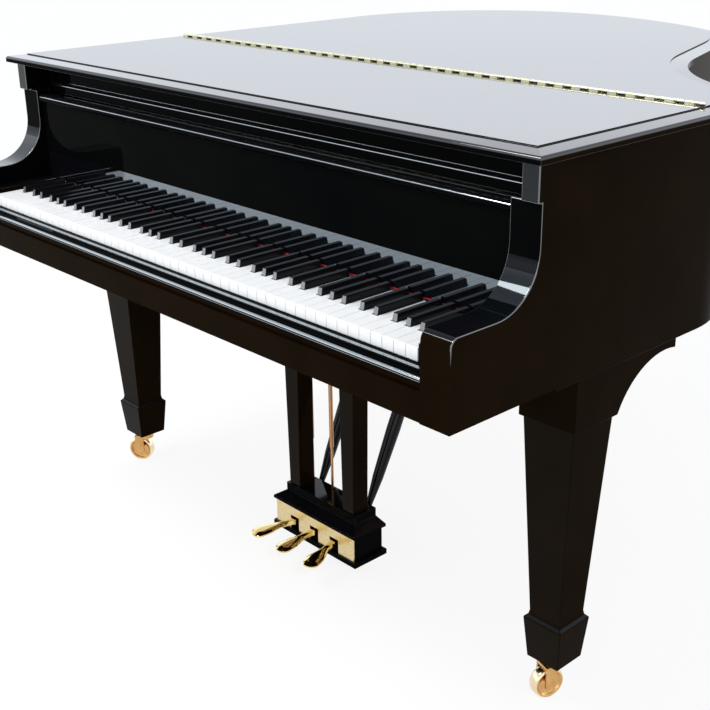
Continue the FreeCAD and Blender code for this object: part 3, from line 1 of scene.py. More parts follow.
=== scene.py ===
import bpy
import bmesh
import json
import math
from mathutils import Euler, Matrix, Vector


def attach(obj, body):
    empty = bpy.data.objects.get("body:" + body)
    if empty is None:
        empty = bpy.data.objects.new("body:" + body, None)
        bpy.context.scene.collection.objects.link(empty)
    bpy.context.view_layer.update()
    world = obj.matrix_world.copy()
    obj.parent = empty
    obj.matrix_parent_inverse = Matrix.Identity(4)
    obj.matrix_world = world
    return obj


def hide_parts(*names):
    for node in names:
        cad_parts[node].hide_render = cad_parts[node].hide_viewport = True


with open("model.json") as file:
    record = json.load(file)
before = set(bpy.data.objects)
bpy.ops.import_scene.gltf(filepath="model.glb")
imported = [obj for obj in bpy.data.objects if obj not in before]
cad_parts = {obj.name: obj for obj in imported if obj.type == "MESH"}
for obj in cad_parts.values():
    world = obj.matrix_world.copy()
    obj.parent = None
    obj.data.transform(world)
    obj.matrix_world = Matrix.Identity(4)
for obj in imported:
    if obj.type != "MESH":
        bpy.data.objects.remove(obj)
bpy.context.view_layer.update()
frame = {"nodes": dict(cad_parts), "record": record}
scene = bpy.context.scene
scene.view_settings.view_transform = "Standard"

# The frame's Y is zero at the middle of the piano; sizes below count Y from the white key fronts
MID_Y = 0.7635126


def at(x, y, z):
    return Vector((x, y - MID_Y, z))


# Materials
NOISE_LOW = 0.3
NOISE_HIGH = 0.7
SURFACE_BUMP_DEPTH = 0.001
WOOD_BUMP = 0.08
WOOD_BUMP_DEPTH = 0.0005


def new_material(name):
    material = bpy.data.materials.new(name)
    material.use_nodes = True
    tree = material.node_tree
    shader = next(n for n in tree.nodes if n.type == "BSDF_PRINCIPLED")
    return material, tree, shader


def add_node(tree, kind, **inputs):
    node = tree.nodes.new(kind)
    for key, value in inputs.items():
        node.inputs[key.replace("_", " ")].default_value = value
    return node


def object_coords(tree, scale):
    coords = tree.nodes.new("ShaderNodeTexCoord")
    mapping = tree.nodes.new("ShaderNodeMapping")
    mapping.inputs["Scale"].default_value = scale
    tree.links.new(coords.outputs["Object"], mapping.inputs["Vector"])
    return mapping.outputs["Vector"]


def noise_ramp(tree, vector, scale, detail, low, high):
    noise = add_node(tree, "ShaderNodeTexNoise", Scale=scale, Detail=detail)
    tree.links.new(vector, noise.inputs["Vector"])
    spread = add_node(tree, "ShaderNodeMapRange", From_Min=NOISE_LOW, From_Max=NOISE_HIGH,
                      To_Min=low, To_Max=high)
    tree.links.new(noise.outputs["Fac"], spread.inputs["Value"])
    return noise.outputs["Fac"], spread.outputs["Result"]


def uneven_gloss(tree, shader, vector, scale, rough):
    roughness = noise_ramp(tree, vector, scale, 3.0, rough[0], rough[1])[1]
    tree.links.new(roughness, shader.inputs["Roughness"])


def add_bump(tree, shader, height, strength, distance):
    bump = add_node(tree, "ShaderNodeBump", Strength=strength, Distance=distance)
    tree.links.new(height, bump.inputs["Height"])
    tree.links.new(bump.outputs["Normal"], shader.inputs["Normal"])


def two_colours(tree, shader, factor, first, second):
    mix = tree.nodes.new("ShaderNodeMix")
    mix.data_type = "RGBA"
    mix.inputs["A"].default_value = (*first, 1.0)
    mix.inputs["B"].default_value = (*second, 1.0)
    tree.links.new(factor, mix.inputs["Factor"])
    tree.links.new(mix.outputs["Result"], shader.inputs["Base Color"])


def surface(name, first, second, rough, metal=0.0, ior=1.45, scale=30.0, bump=0.01,
            stretch=(1, 1, 1), tint=(1.0, 1.0, 1.0)):
    material, tree, shader = new_material(name)
    shader.inputs["Metallic"].default_value = metal
    shader.inputs["IOR"].default_value = ior
    shader.inputs["Specular Tint"].default_value = (*tint, 1.0)
    vector = object_coords(tree, stretch)
    height, factor = noise_ramp(tree, vector, scale, 4.0, 0.0, 1.0)
    two_colours(tree, shader, factor, first, second)
    uneven_gloss(tree, shader, vector, scale * 2, rough)
    add_bump(tree, shader, height, bump, SURFACE_BUMP_DEPTH)
    return material


def wood(name, light, dark, rough, rings, along):
    material, tree, shader = new_material(name)
    vector = object_coords(tree, along)
    wave = add_node(tree, "ShaderNodeTexWave", Scale=rings, Distortion=6.0, Detail=3.0, Detail_Scale=1.5)
    tree.links.new(vector, wave.inputs["Vector"])
    two_colours(tree, shader, wave.outputs["Fac"], light, dark)
    uneven_gloss(tree, shader, vector, 40.0, rough)
    add_bump(tree, shader, wave.outputs["Fac"], WOOD_BUMP, WOOD_BUMP_DEPTH)
    return material


# Copies of one black lacquer, made to paint light and shade: each face or edge gets a lit, shaded or
# strongly reflecting copy by where it sits and how it faces
# The case lacquer: its warm brown tone is painted reflection of brown surroundings in the dark sides
LACQUER = surface("lacquer", (0.0052, 0.0025, 0.0007), (0.0078, 0.0041, 0.0014), (0.02, 0.05),
                  ior=1.05, scale=9.0, bump=0.003)
# A neutral, darker copy: painted shade for faces that are to look deep black
LACQUER_FALL = surface("lacquer_fall", (0.0009, 0.0011, 0.0012), (0.002, 0.0021, 0.0021), (0.01, 0.03),
                       ior=1.05, scale=5.0, bump=0.002)
# A lit copy with a higher IOR: painted light on up-facing faces
LACQUER_TOP = surface("lacquer_top", (0.002, 0.002, 0.003), (0.004, 0.004, 0.005), (0.02, 0.06),
                      ior=1.26, scale=9.0, bump=0.003)
# A lit copy with a higher IOR for the lid's top and rounded upper edge: painted light that makes the lid
# pale
LACQUER_LID = surface("lacquer_lid", (0.003, 0.004, 0.006), (0.005, 0.006, 0.008), (0.03, 0.06),
                      ior=1.55, scale=6.0, bump=0.002)
# A copy with a warm reflection tint for the legs' front faces: painted brown reflection
LACQUER_LEG = surface("lacquer_leg", (0.0035, 0.0022, 0.0011), (0.006, 0.0036, 0.0018), (0.02, 0.05),
                      ior=1.12, scale=9.0, bump=0.003, tint=(1.0, 0.76, 0.54))
# A half-lit copy for the middle of the arms' scroll: a step of painted light between their dark and lit
# parts
LACQUER_BEND = surface("lacquer_bend", (0.002, 0.002, 0.003), (0.003, 0.003, 0.004), (0.02, 0.05),
                       ior=1.2, scale=9.0, bump=0.002)
# A lit copy with a blue reflection tint for the arms' lower scroll and posts: painted light and painted
# blue reflection
LACQUER_SCROLL = surface("lacquer_scroll", (0.002, 0.003, 0.004), (0.003, 0.004, 0.005), (0.02, 0.05),
                         ior=1.4, scale=9.0, bump=0.002, tint=(0.8, 0.93, 1.0))
# A strongly reflecting copy with a blue tint, only on the fallboard's lower strip: painted reflection of
# the keys
LACQUER_PAINTED_REFLECTION = surface("lacquer_painted_reflection", (0.002, 0.002, 0.003), (0.003, 0.003, 0.004), (0.01, 0.03),
                         ior=2.4, scale=9.0, bump=0.001, tint=(0.78, 0.91, 1.0))
# A copy with a raised IOR for bevels: painted edge highlights
LACQUER_EDGE = surface("lacquer_edge", (0.003, 0.003, 0.004), (0.006, 0.006, 0.007), (0.05, 0.12),
                       ior=1.7, scale=40.0, bump=0.003)
# A copy with a high IOR for edge lines on the arms and the lyre base: painted highlights
LACQUER_PAINTED_SHINE = surface("lacquer_painted_shine", (0.003, 0.003, 0.004), (0.006, 0.006, 0.007), (0.04, 0.1),
                        ior=2.4, scale=40.0, bump=0.003)
# A copy with an IOR too high for real lacquer and a blue tint: painted glints along the key slip, the
# fallboard nosing and the tray rail
LACQUER_PAINTED_GLINT = surface("lacquer_painted_glint", (0.006, 0.006, 0.007), (0.01, 0.01, 0.011), (0.06, 0.14),
                        ior=4.5, scale=40.0, bump=0.003, tint=(0.9, 0.97, 1.0))

# Keys
WHITE = surface("white_key", (0.93, 0.93, 0.92), (0.90, 0.90, 0.885), (0.12, 0.2),
                ior=1.5, scale=25.0, bump=0.01)
# A lighter copy of the black key for its sloped front: painted highlight
SHARP_FRONT_PAINTED_HIGHLIGHT = surface("black_key_front_painted_highlight", (0.10, 0.11, 0.12), (0.14, 0.15, 0.16), (0.15, 0.25),
                    ior=2.4, scale=60.0, bump=0.01)
EBONY = surface("black_key", (0.004, 0.004, 0.005), (0.008, 0.008, 0.009), (0.08, 0.16),
                ior=1.2, scale=60.0, bump=0.01, stretch=(1, 0.2, 1))

# Metals
BRASS = surface("brass", (0.86, 0.63, 0.25), (0.74, 0.50, 0.17), (0.06, 0.16),
                metal=1.0, scale=24.0, bump=0.02)
# The front leaf's brass is a little darker and rougher than the rear leaf's: painted shade on alternate
# knuckles
HINGE_SHADE = surface("hinge_shade", (0.80, 0.78, 0.56), (0.66, 0.63, 0.42), (0.25, 0.38),
                      metal=1.0, scale=60.0, bump=0.03)
HINGE_BRASS = surface("hinge_brass", (0.82, 0.80, 0.58), (0.72, 0.69, 0.46), (0.2, 0.32),
                      metal=1.0, scale=60.0, bump=0.03)
PLATE_BRASS = surface("plate_brass", (0.78, 0.66, 0.40), (0.66, 0.52, 0.27), (0.28, 0.42),
                      metal=1.0, scale=260.0, bump=0.05)
PEDAL_BRASS = surface("pedal_brass", (0.86, 0.70, 0.34), (0.76, 0.57, 0.23), (0.04, 0.1),
                      metal=1.0, scale=24.0, bump=0.01)
CASTER_BRASS = surface("caster_brass", (0.70, 0.42, 0.17), (0.52, 0.28, 0.09), (0.1, 0.22),
                       metal=1.0, scale=40.0, bump=0.03)
TREAD_BRASS = surface("tread_brass", (0.93, 0.80, 0.58), (0.80, 0.64, 0.40), (0.1, 0.2),
                      metal=1.0, scale=40.0, bump=0.02)
COPPER = surface("copper", (0.55, 0.30, 0.15), (0.42, 0.21, 0.10), (0.15, 0.3),
                 metal=1.0, scale=30.0, bump=0.02)
GOLD_IRON = surface("gold_iron", (0.74, 0.53, 0.22), (0.62, 0.43, 0.16), (0.3, 0.45),
                    metal=0.75, scale=70.0, bump=0.12)
STEEL = surface("steel_wire", (0.70, 0.70, 0.71), (0.58, 0.58, 0.60), (0.18, 0.3),
                metal=1.0, scale=60.0, bump=0.02)

# Wood, felt and the dampers
DAMPER = surface("damper_black", (0.012, 0.012, 0.012), (0.02, 0.02, 0.02), (0.3, 0.45),
                 scale=50.0, bump=0.03)
SPRUCE = wood("spruce", (0.74, 0.50, 0.25), (0.60, 0.37, 0.16), (0.3, 0.42), 9.0, (6.0, 0.6, 1.0))
MAPLE = wood("maple", (0.60, 0.42, 0.25), (0.48, 0.32, 0.18), (0.4, 0.55), 5.0, (3.0, 0.5, 2.0))
FELT = surface("red_felt", (0.55, 0.010, 0.02), (0.38, 0.005, 0.012), (0.9, 1.0), scale=400.0, bump=0.3)

SLOT_MATERIALS = {
    "black_lacquer": LACQUER,
    "brass": BRASS,
    "copper_rod": COPPER,
    "white_key": WHITE,
    "black_key": EBONY,
    "gold_iron": GOLD_IRON,
    "steel_wire": STEEL,
    "spruce": SPRUCE,
    "maple": MAPLE,
    "damper_black": DAMPER,
}

# The CAD nodes: the white keys stay as they are and have their edges rounded
WELD_DISTANCE = 0.00002
WHITE_KEY_ROUND = 0.0007
WHITE_KEY_ANGLE = math.radians(40)
for entry in frame["record"]["subparts"]:
    node = frame["nodes"][entry["node"]]
    if entry["material_slot"] == "white_key":
        weld = node.modifiers.new("weld", "WELD")
        weld.merge_threshold = WELD_DISTANCE
        bevel = node.modifiers.new("edges", "BEVEL")
        bevel.width = WHITE_KEY_ROUND
        bevel.segments = 2
        bevel.limit_method = "ANGLE"
        bevel.angle_limit = WHITE_KEY_ANGLE
        bevel.harden_normals = True
    node.data.materials.clear()
    node.data.materials.append(SLOT_MATERIALS[entry["material_slot"]])

BODY_OF = {}
for body, names in frame["record"]["behaviour"]["bodies"].items():
    for name in names:
        BODY_OF[name] = body


# A piece that takes the place of a node rides on its body, and the node is hidden
def stand_in(piece, name):
    scene.collection.objects.link(piece)
    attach(piece, BODY_OF[name])
    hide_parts(name)


# A finished piece keeps a node's form, rounds its edges and gives each face a material by a rule; on the
# lacquer the rule picks lit or shaded copies, which paint light and shade
FLAT_ANGLE = math.radians(0.4)
EDGE_ANGLE = math.radians(30)


def finish(name, materials, rule, width, edge_slot, segments=2, cuts=(), shape=None, edges=None):
    form = bmesh.new()
    form.from_mesh(frame["nodes"][name].data)
    bmesh.ops.remove_doubles(form, verts=form.verts, dist=WELD_DISTANCE)
    bmesh.ops.dissolve_limit(form, angle_limit=FLAT_ANGLE, verts=form.verts, edges=form.edges)
    for point, normal in cuts:
        geometry = form.verts[:] + form.edges[:] + form.faces[:]
        bmesh.ops.bisect_plane(form, geom=geometry, plane_co=point, plane_no=normal)
    if shape:
        for vertex in form.verts:
            vertex.co = shape(vertex.co)
    form.normal_update()
    for face in form.faces:
        face.smooth = True
        face.material_index = rule(face.normal, face.calc_center_median())
    weights = form.edges.layers.float.new("bevel_weight_edge")
    for edge in form.edges:
        if edge.is_manifold and edge.calc_face_angle() > EDGE_ANGLE:
            edge[weights] = edges((edge.verts[0].co + edge.verts[1].co) / 2) if edges else 1.0
    mesh = bpy.data.meshes.new(name + "_finish")
    form.to_mesh(mesh)
    mesh.set_sharp_from_angle(angle=EDGE_ANGLE)
    form.free()
    if "custom_normal" in mesh.attributes:
        mesh.attributes.remove(mesh.attributes["custom_normal"])
    for material in materials:
        mesh.materials.append(material)
    piece = bpy.data.objects.new(name + "_finish", mesh)
    bevel = piece.modifiers.new("edges", "BEVEL")
    bevel.width = width
    bevel.segments = segments
    bevel.limit_method = "WEIGHT"
    bevel.harden_normals = True
    bevel.material = edge_slot
    stand_in(piece, name)


# Heights and depths that part the faces and edges of the finished pieces
TOP_FACING = 0.25
RIM_FRONT = 0.2 - MID_Y
ARM_BACK = 0.186 - MID_Y
ARM_LEDGE = 0.92
ARM_LEDGE_ROUND = 0.004
ARM_SCROLL_LOW = 0.776
ARM_SCROLL_TOP = 0.83
ARM_NOSE_LOW = 0.74
# Top of the fallboard's strip that carries the painted reflection
PAINTED_REFLECTION_TOP = 0.793
FALLBOARD_LIP = 0.89
SLIP_EDGE = 0.7086
SLIP_BEAD_LOW = 0.6944
# The strip of the key slip's top that gets a painted glint
SLIP_PAINTED_GLINT = (-0.0177 - MID_Y, -0.0115 - MID_Y)
KEYBED_EDGE = 0.68
LID_SEAM = 0.548 - MID_Y
LID_SEAM_REACH = 0.003
LID_SHOULDER = 0.9875
LID_SHOULDER_REACH = 0.0006
LID_HALF_WIDTH = 0.71695
LEG_FOOT_TOP = 0.18
LYRE_STEP = 0.085
HINGE_LEAF_TOP = 0.9934
SHARP_LOW = 0.73


def one_polish(normal, centre):
    return 0


# Up-facing faces take slot 1, the lit copy: painted light on tops
def tops(normal, centre):
    return 1 if normal.z > TOP_FACING else 0


def rim_edges(place):
    return 0.0 if place.y < RIM_FRONT else 1.0


# Painted light and shade on the arms: lit lower scroll and post, a half-lit step, dark upright scroll
# and inner sides, lit tops
def arm_faces(normal, centre):
    if abs(normal.x) < 0.3 and normal.y < -0.05 and centre.z > ARM_SCROLL_LOW:
        if centre.z > ARM_LEDGE or normal.z > 0.42:
            return 1
        return 4 if normal.z > 0.2 else 5
    if normal.x * centre.x < -0.1:
        return 5
    return 3 if normal.z > 0.7 else 0


# The arms' bevels along the scroll, the nose and the post are painted highlight lines, and the arms meet
# the rim without a line
def arm_edges(place):
    if place.y > ARM_BACK or place.z < ARM_NOSE_LOW:
        return 0.0
    return 1.0 if place.z < ARM_SCROLL_TOP or place.z > ARM_LEDGE - ARM_LEDGE_ROUND else 0.35


# The fallboard's front below the strip's top takes the strongly reflecting copy, a painted reflection of
# the keys, and its nosing top the glint copy, a painted highlight
def fallboard_faces(normal, centre):
    if normal.y < -0.9 and centre.z < PAINTED_REFLECTION_TOP:
        return 1
    return 2 if centre.z > FALLBOARD_LIP and normal.y < 0.3 and normal.z > 0.5 else 0


# The key slip has painted highlight lines: a strip of its top and the bead's upper and lower faces take
# the glint copy, and the face below the bead the case lacquer
def slip_faces(normal, centre):
    if centre.z < SLIP_BEAD_LOW:
        return 2
    if centre.z > SLIP_EDGE:
        return 1 if SLIP_PAINTED_GLINT[0] < centre.y < SLIP_PAINTED_GLINT[1] else 0
    return 1 if abs(normal.z) > 0.25 and normal.y < -0.05 else 0


def keybed_edges(place):
    return 1.0 if place.z > KEYBED_EDGE and place.y < -MID_Y else 0.0


# The lid's upper edge is rounded well, and the other edges only a little
def lid_edges(place):
    if abs(place.y - LID_SEAM) < LID_SEAM_REACH:
        return 0.04
    return 1.0 if abs(place.z - LID_SHOULDER) < LID_SHOULDER_REACH else 0.09


# The lid's upward faces and its rounded upper edge take the lit copy, its right side the case lacquer
# and its other sides the dark copy: painted light and shade
def lid_faces(normal, centre):
    if normal.z > 0.02:
        return 1
    return 2 if normal.x > 0.3 and normal.z > -0.5 else 0


# A bevel may bulge a hair where a straight side meets a curve, so the sides start a hair inside
def inside_box(point):
    return Vector((max(-LID_HALF_WIDTH, min(LID_HALF_WIDTH, point.x)), point.y, point.z))


# Leg tops take the lit copy and leg fronts the warm-tinted copy: painted light and painted reflection
def leg_faces(normal, centre):
    if normal.z > TOP_FACING:
        return 1
    return 3 if normal.y < -0.5 else 0


def leg_edges(place):
    return 1.0 if place.z < LEG_FOOT_TOP else 0.6


def lyre_edges(place):
    return 1.0 if place.z > LYRE_STEP else 0.3


# The tray rail's chamfer and its bevels take the glint copy: painted highlight lines
def tray_faces(normal, centre):
    return 1 if normal.z > 0.3 and normal.y < -0.3 else 0


# The hinge's flat leaves are lacquered like the lid, and its knuckles are bright
def hinge_faces(normal, centre):
    return 1 if centre.z < HINGE_LEAF_TOP else 0


# The black keys' fronts take the lighter copy: painted highlight
def sharp_highlight_faces(normal, centre):
    return 1 if normal.y < -0.5 and centre.z > SHARP_LOW else 0


# Case, legs and lyre
PLAIN = [LACQUER, LACQUER_TOP, LACQUER_EDGE]
finish("outer_rim", PLAIN, tops, 0.0008, 0, edges=rim_edges)
finish("leg_brackets", PLAIN, tops, 0.001, 0)
for name in ("leg_front_left", "leg_front_right", "leg_rear"):
    finish(name, PLAIN + [LACQUER_LEG], leg_faces, 0.001, 0, edges=leg_edges)
finish("lyre_posts", PLAIN + [LACQUER_LEG], leg_faces, 0.001, 0)
# The lyre base's bevels take the shine copy, painted highlight lines, and its tops the lit copy
finish("lyre_base", [LACQUER_FALL, LACQUER_TOP, LACQUER_PAINTED_SHINE], tops, 0.0012, 2, edges=lyre_edges)
# Their bevels take the edge copy: painted edge highlights
for name in ("key_blocks", "music_desk", "lid_prop"):
    finish(name, PLAIN, tops, 0.0012, 2)
# The braces are wholly the lit copy: painted light on their upper surfaces
finish("lyre_braces", [LACQUER_TOP], one_polish, 0.001, 0)

# Lid, arms and the keyboard's surround
for name in ("lid", "lid_front_flap"):
    finish(name, [LACQUER_FALL, LACQUER_LID, LACQUER], lid_faces, 0.007, 1, segments=5,
           edges=lid_edges, shape=inside_box)
finish("arms", [LACQUER, LACQUER_SCROLL, LACQUER_PAINTED_SHINE, LACQUER_TOP, LACQUER_BEND, LACQUER_FALL],
       arm_faces, 0.0016, 2, segments=3, edges=arm_edges)
finish("fallboard", [LACQUER_FALL, LACQUER_PAINTED_REFLECTION, LACQUER_PAINTED_GLINT], fallboard_faces, 0.001, 0,
       cuts=[((0, 0, PAINTED_REFLECTION_TOP), (0, 0, 1))])
finish("key_slip", [LACQUER_FALL, LACQUER_PAINTED_GLINT, LACQUER], slip_faces, 0.0008, 0,
       cuts=[((0, y, 0), (0, 1, 0)) for y in SLIP_PAINTED_GLINT])
finish("keybed", [LACQUER], one_polish, 0.0012, 0, edges=keybed_edges)
finish("music_desk_tray", [LACQUER_FALL, LACQUER_PAINTED_GLINT], tray_faces, 0.001, 1)

# Flap hinge and black keys
finish("flap_hinge_front_leaf", [HINGE_SHADE, LACQUER_LID], hinge_faces, 0.0003, 0)
finish("flap_hinge_rear_leaf", [HINGE_BRASS, LACQUER_LID], hinge_faces, 0.0003, 0)
for letter in "acdfg":
    finish("keys_" + letter + "_sharp", [EBONY, SHARP_FRONT_PAINTED_HIGHLIGHT], sharp_highlight_faces, 0.0011, 0)

# Pedals: the toes are leaf-shaped, rounded on both faces, and dip towards the tip
PLATE_FRONT = 0.316
PEDAL_MID_Z = 0.061
TOE_LENGTH = 0.097
TOE_HALF = 0.0155
TOE_WIDTHS = ((0.0, 0.47), (0.35, 0.52), (0.62, 0.92), (0.82, 1.0), (1.0, 1.0))
TOE_TIP_START = 0.82
TOE_THIN_SQUARE = 0.09
TOE_ROUND_RUN = 0.3
TOE_WIDEN = 0.18
TOE_WIDEN_RUN = 0.35
TOE_DIP = 0.007
TOE_DIP_POWER = 1.6
TOE_CUT_ALONG = 0.006
TOE_CUT_ACROSS = 0.0028


def toe_half(share):
    for (start, first), (end, last) in zip(TOE_WIDTHS, TOE_WIDTHS[1:]):
        if share <= end:
            return TOE_HALF * (first + (last - first) * (share - start) / (end - start))
    return TOE_HALF


def rounded_pedal(name, x, lean):
    root = at(x, PLATE_FRONT, PEDAL_MID_Z)
    angle = math.radians(lean)
    along = Vector((math.sin(angle), -math.cos(angle), 0))
    across = Vector((math.cos(angle), math.sin(angle), 0))

    def leaf(point):
        share = (point - root).dot(along) / TOE_LENGTH
        if share <= 0:
            return point
        offset = (point - root).dot(across)
        side = offset / toe_half(min(share, 1.0))
        tip = max(0.0, (share - TOE_TIP_START) / (1 - TOE_TIP_START))
        reach = min(1.0, side * side + tip * tip)
        thin = math.sqrt(max(TOE_THIN_SQUARE, 1 - (1 - TOE_THIN_SQUARE) * reach * reach))
        full = 1 + (thin - 1) * min(1.0, share / TOE_ROUND_RUN)
        widen = TOE_WIDEN * max(0.0, min(1.0, (share - TOE_ROUND_RUN) / TOE_WIDEN_RUN))
        dip = TOE_DIP * min(share, 1.0) ** TOE_DIP_POWER
        height = (point.z - root.z) * (full - 1) - dip
        return point + across * offset * widen + Vector((0, 0, height))

    def root_edges(place):
        return 1.0 if place.y > root.y else 0.0

    cuts = [(root + along * TOE_CUT_ALONG * step, along) for step in range(1, 16)]
    cuts += [(root + across * TOE_CUT_ACROSS * step, across) for step in range(-5, 6)]
    finish(name, [PEDAL_BRASS], one_polish, 0.0015, 0, cuts=cuts, shape=leaf, edges=root_edges)


rounded_pedal("pedal_left", -0.058, -15.0)
rounded_pedal("pedal_middle", 0.004, 0.0)
rounded_pedal("pedal_right", 0.066, 15.0)
finish("pedal_plate", [PLATE_BRASS], one_polish, 0.0006, 0)
for name in ("caster_fork_front_left", "caster_fork_front_right", "caster_fork_rear"):
    finish(name, [CASTER_BRASS], one_polish, 0.0012, 0)

# Caster wheels turned from one profile in mm: hub, dished side, raised rim and crowned tread
WHEEL_PROFILE = (
    (4.1, 10.6), (7.2, 10.6), (8.2, 9.8), (9.0, 7.4), (19.5, 6.4), (21.6, 7.2), (22.6, 9.8),
    (23.8, 10.8), (26.0, 10.8), (28.2, 9.8), (29.5, 7.2), (29.95, 3.0), (29.95, 0.0),
)
WHEEL_STEPS = 64
TREAD_RADIUS = 0.0255


def turned_wheel(name, hub, axle):
    half = [(radius / 1000, side / 1000) for radius, side in WHEEL_PROFILE]
    ring = half + [(radius, -side) for radius, side in reversed(half[:-1])]
    across = axle.cross(Vector((0, 0, 1))).normalized()
    up = across.cross(axle).normalized()
    verts = []
    for step in range(WHEEL_STEPS):
        angle = 2 * math.pi * step / WHEEL_STEPS
        out = across * math.cos(angle) + up * math.sin(angle)
        for radius, side in ring:
            verts.append(hub + out * radius + axle * side)
    count = len(ring)
    faces = []
    for step in range(WHEEL_STEPS):
        here = step * count
        ahead = (step + 1) % WHEEL_STEPS * count
        for index in range(count):
            after = (index + 1) % count
            faces.append((here + index, here + after, ahead + after, ahead + index))
    mesh = bpy.data.meshes.new(name + "_turned")
    mesh.from_pydata(verts, [], faces)
    mesh.update()
    form = bmesh.new()
    form.from_mesh(mesh)
    bmesh.ops.recalc_face_normals(form, faces=form.faces)

    def radius_of(vertex):
        arm = vertex.co - hub
        return (arm - axle * arm.dot(axle)).length

    for face in form.faces:
        face.smooth = True
        face.material_index = 1 if min(radius_of(v) for v in face.verts) > TREAD_RADIUS else 0
    form.to_mesh(mesh)
    form.free()
    mesh.materials.append(CASTER_BRASS)
    mesh.materials.append(TREAD_BRASS)
    stand_in(bpy.data.objects.new(name + "_turned", mesh), name)


for joint in frame["record"]["behaviour"]["joints"]:
    if joint["name"].startswith("caster_wheel"):
        turned_wheel(joint["child"], Vector(joint["pos_m"]), Vector(joint["axis"]).normalized())


def add_piece(name, verts, faces, material, body):
    mesh = bpy.data.meshes.new(name)
    mesh.from_pydata([tuple(v) for v in verts], [], faces)
    mesh.materials.append(material)
    piece = bpy.data.objects.new(name, mesh)
    scene.collection.objects.link(piece)
    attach(piece, body)


# Red felt along the foot of the fallboard, with a soft wavy lower edge
FELT_STEPS = 160
FELT_HALF = 0.607
FELT_FRONT = 0.1505
FELT_LOW_FRONT = 0.1502
FELT_BACK = 0.1640
FELT_TOP = 0.7329
FELT_LOW = 0.7308
FELT_SWAY = 0.0003
FELT_WAVE = 1.7
felt_verts = []
for step in range(FELT_STEPS + 1):
    x = -FELT_HALF + 2 * FELT_HALF * step / FELT_STEPS
    low = FELT_LOW + FELT_SWAY * math.sin(step * FELT_WAVE)
    felt_verts += [at(x, FELT_FRONT, FELT_TOP), at(x, FELT_LOW_FRONT, low)]
    felt_verts += [at(x, FELT_BACK, low), at(x, FELT_BACK, FELT_TOP)]
felt_faces = []
for step in range(FELT_STEPS):
    here = step * 4
    ahead = here + 4
    for index in range(4):
        after = (index + 1) % 4
        felt_faces.append((here + index, here + after, ahead + after, ahead + index))
felt_faces += [(0, 1, 2, 3), tuple(FELT_STEPS * 4 + index for index in (3, 2, 1, 0))]
add_piece("fallboard_felt", felt_verts, felt_faces, FELT, "fallboard")

# Domed screws that hold the pedal plate: the crown's height, then rings of radius and height
SCREW_CROWN = 0.0016
SCREW_RINGS = ((0.0022, 0.0014), (0.0036, 0.0008), (0.0042, 0.0))
SCREW_STEPS = 20
SCREW_Z = 0.081


def plate_screw(name, x):
    verts = [at(x, PLATE_FRONT - SCREW_CROWN, SCREW_Z)]
    for radius, out in SCREW_RINGS:
        for step in range(SCREW_STEPS):
            angle = 2 * math.pi * step / SCREW_STEPS
            side = x + radius * math.cos(angle)
            verts.append(at(side, PLATE_FRONT - out, SCREW_Z + radius * math.sin(angle)))
    faces = [(0, 1 + (step + 1) % SCREW_STEPS, 1 + step) for step in range(SCREW_STEPS)]
    for ring in range(len(SCREW_RINGS) - 1):
        for step in range(SCREW_STEPS):
            first = 1 + ring * SCREW_STEPS + step
            second = 1 + ring * SCREW_STEPS + (step + 1) % SCREW_STEPS
            faces.append((first, second, second + SCREW_STEPS, first + SCREW_STEPS))
    add_piece(name, verts, faces, BRASS, "case")


plate_screw("plate_screw_left", -0.106)
plate_screw("plate_screw_right", 0.114)

# Camera
CAMERA_TURN = (68.18376, 0.79920, 47.22750)
camera_data = bpy.data.cameras.new("camera")
camera_data.sensor_width = 36.0
camera_data.lens = 59.638
camera = bpy.data.objects.new("camera", camera_data)
camera.location = at(1.647173, -1.063484, 1.313550)
camera.rotation_euler = Euler([math.radians(turn) for turn in CAMERA_TURN], "XYZ")
scene.collection.objects.link(camera)
scene.camera = camera

# Floor: white to the camera and in reflections, with the piano's shadow kept
FLOOR_HALF = 40
FLOOR_GLOW = 0.86
floor_corners = [(x * FLOOR_HALF, y * FLOOR_HALF, 0) for x, y in ((-1, -1), (1, -1), (1, 1), (-1, 1))]
floor_mesh = bpy.data.meshes.new("floor")
floor_mesh.from_pydata(floor_corners, [], [(0, 1, 2, 3)])
floor = bpy.data.objects.new("floor", floor_mesh)
scene.collection.objects.link(floor)
floor_material, floor_tree, floor_shader = new_material("floor")
floor_shader.inputs["Base Color"].default_value = (0.95, 0.95, 0.95, 1.0)
floor_shader.inputs["Roughness"].default_value = 0.9
floor_shader.inputs["Specular IOR Level"].default_value = 0.0
floor_glow = add_node(floor_tree, "ShaderNodeEmission", Strength=1.0)
floor_mix = floor_tree.nodes.new("ShaderNodeMixShader")
floor_path = floor_tree.nodes.new("ShaderNodeLightPath")
floor_rays = [floor_tree.nodes.new("ShaderNodeMath") for step in range(3)]
for math_node, kind in zip(floor_rays, ("MAXIMUM", "MAXIMUM", "MULTIPLY")):
    math_node.operation = kind
floor_tree.links.new(floor_path.outputs["Is Camera Ray"], floor_rays[0].inputs[0])
floor_tree.links.new(floor_path.outputs["Is Glossy Ray"], floor_rays[0].inputs[1])
floor_tree.links.new(floor_rays[0].outputs[0], floor_rays[1].inputs[0])
floor_tree.links.new(floor_path.outputs["Is Transmission Ray"], floor_rays[1].inputs[1])
floor_tree.links.new(floor_rays[1].outputs[0], floor_rays[2].inputs[0])
floor_rays[2].inputs[1].default_value = FLOOR_GLOW
floor_tree.links.new(floor_rays[2].outputs[0], floor_mix.inputs[0])
floor_tree.links.new(floor_shader.outputs[0], floor_mix.inputs[1])
floor_tree.links.new(floor_glow.outputs[0], floor_mix.inputs[2])
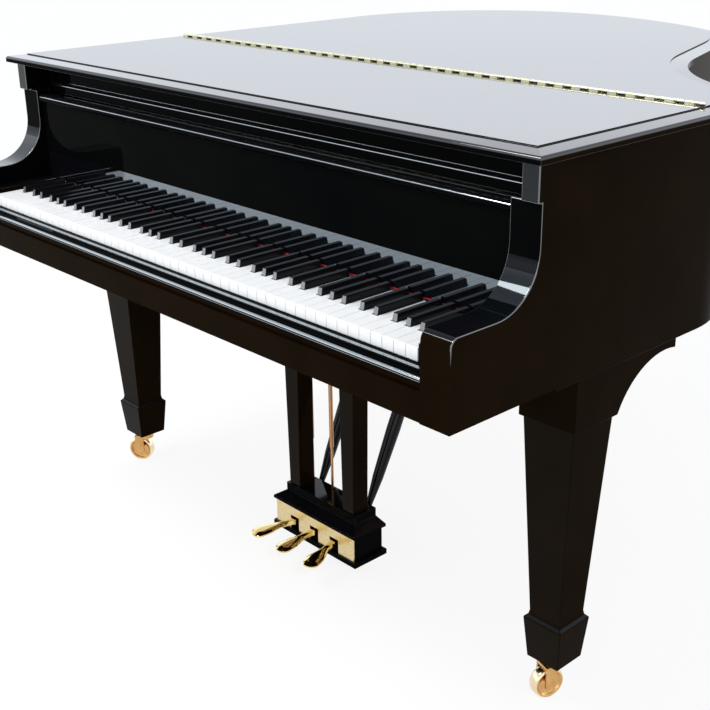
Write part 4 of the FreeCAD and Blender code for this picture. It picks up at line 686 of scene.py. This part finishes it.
floor_output = next(n for n in floor_tree.nodes if n.type == "OUTPUT_MATERIAL")
floor_tree.links.new(floor_mix.outputs[0], floor_output.inputs["Surface"])
floor_mesh.materials.append(floor_material)

# World: a pale studio that is brightest in a band above the horizon
WORLD_STEPS = (
    (0.0, 0.50), (0.05, 0.53), (0.10, 0.60), (0.14, 0.70),
    (0.21, 0.92), (0.34, 0.85), (0.52, 0.50), (0.8, 0.36),
)
WORLD_TINT = (0.95, 0.99, 1.06)
WORLD_STRENGTH = 2.1
world = bpy.data.worlds.new("studio")
scene.world = world
world.use_nodes = True
world_tree = world.node_tree
background = next(n for n in world_tree.nodes if n.type == "BACKGROUND")
world_coords = world_tree.nodes.new("ShaderNodeTexCoord")
world_split = world_tree.nodes.new("ShaderNodeSeparateXYZ")
world_ramp = world_tree.nodes.new("ShaderNodeValToRGB")
world_tree.links.new(world_coords.outputs["Generated"], world_split.inputs[0])
world_tree.links.new(world_split.outputs["Z"], world_ramp.inputs["Fac"])
world_tree.links.new(world_ramp.outputs["Color"], background.inputs["Color"])
while len(world_ramp.color_ramp.elements) < len(WORLD_STEPS):
    world_ramp.color_ramp.elements.new(0.5)
for element, (height, level) in zip(world_ramp.color_ramp.elements, WORLD_STEPS):
    element.position = height
    element.color = (*[level * part for part in WORLD_TINT], 1.0)
background.inputs["Strength"].default_value = WORLD_STRENGTH

# One soft lamp from the front left
LAMP_PLACE = Vector((-0.85, -1.9, 3.1))
LAMP_TARGET = Vector((0.3, -0.7, 0.8))
LAMP_SIDE = 0.9
LAMP_POWER = 56.0
lamp_data = bpy.data.lights.new("front_lamp", "AREA")
lamp_data.shape = "RECTANGLE"
lamp_data.size = LAMP_SIDE
lamp_data.size_y = LAMP_SIDE
lamp_data.energy = LAMP_POWER
lamp = bpy.data.objects.new("front_lamp", lamp_data)
lamp.location = LAMP_PLACE
lamp.rotation_euler = (LAMP_TARGET - LAMP_PLACE).to_track_quat("-Z", "Y").to_euler()
scene.collection.objects.link(lamp)
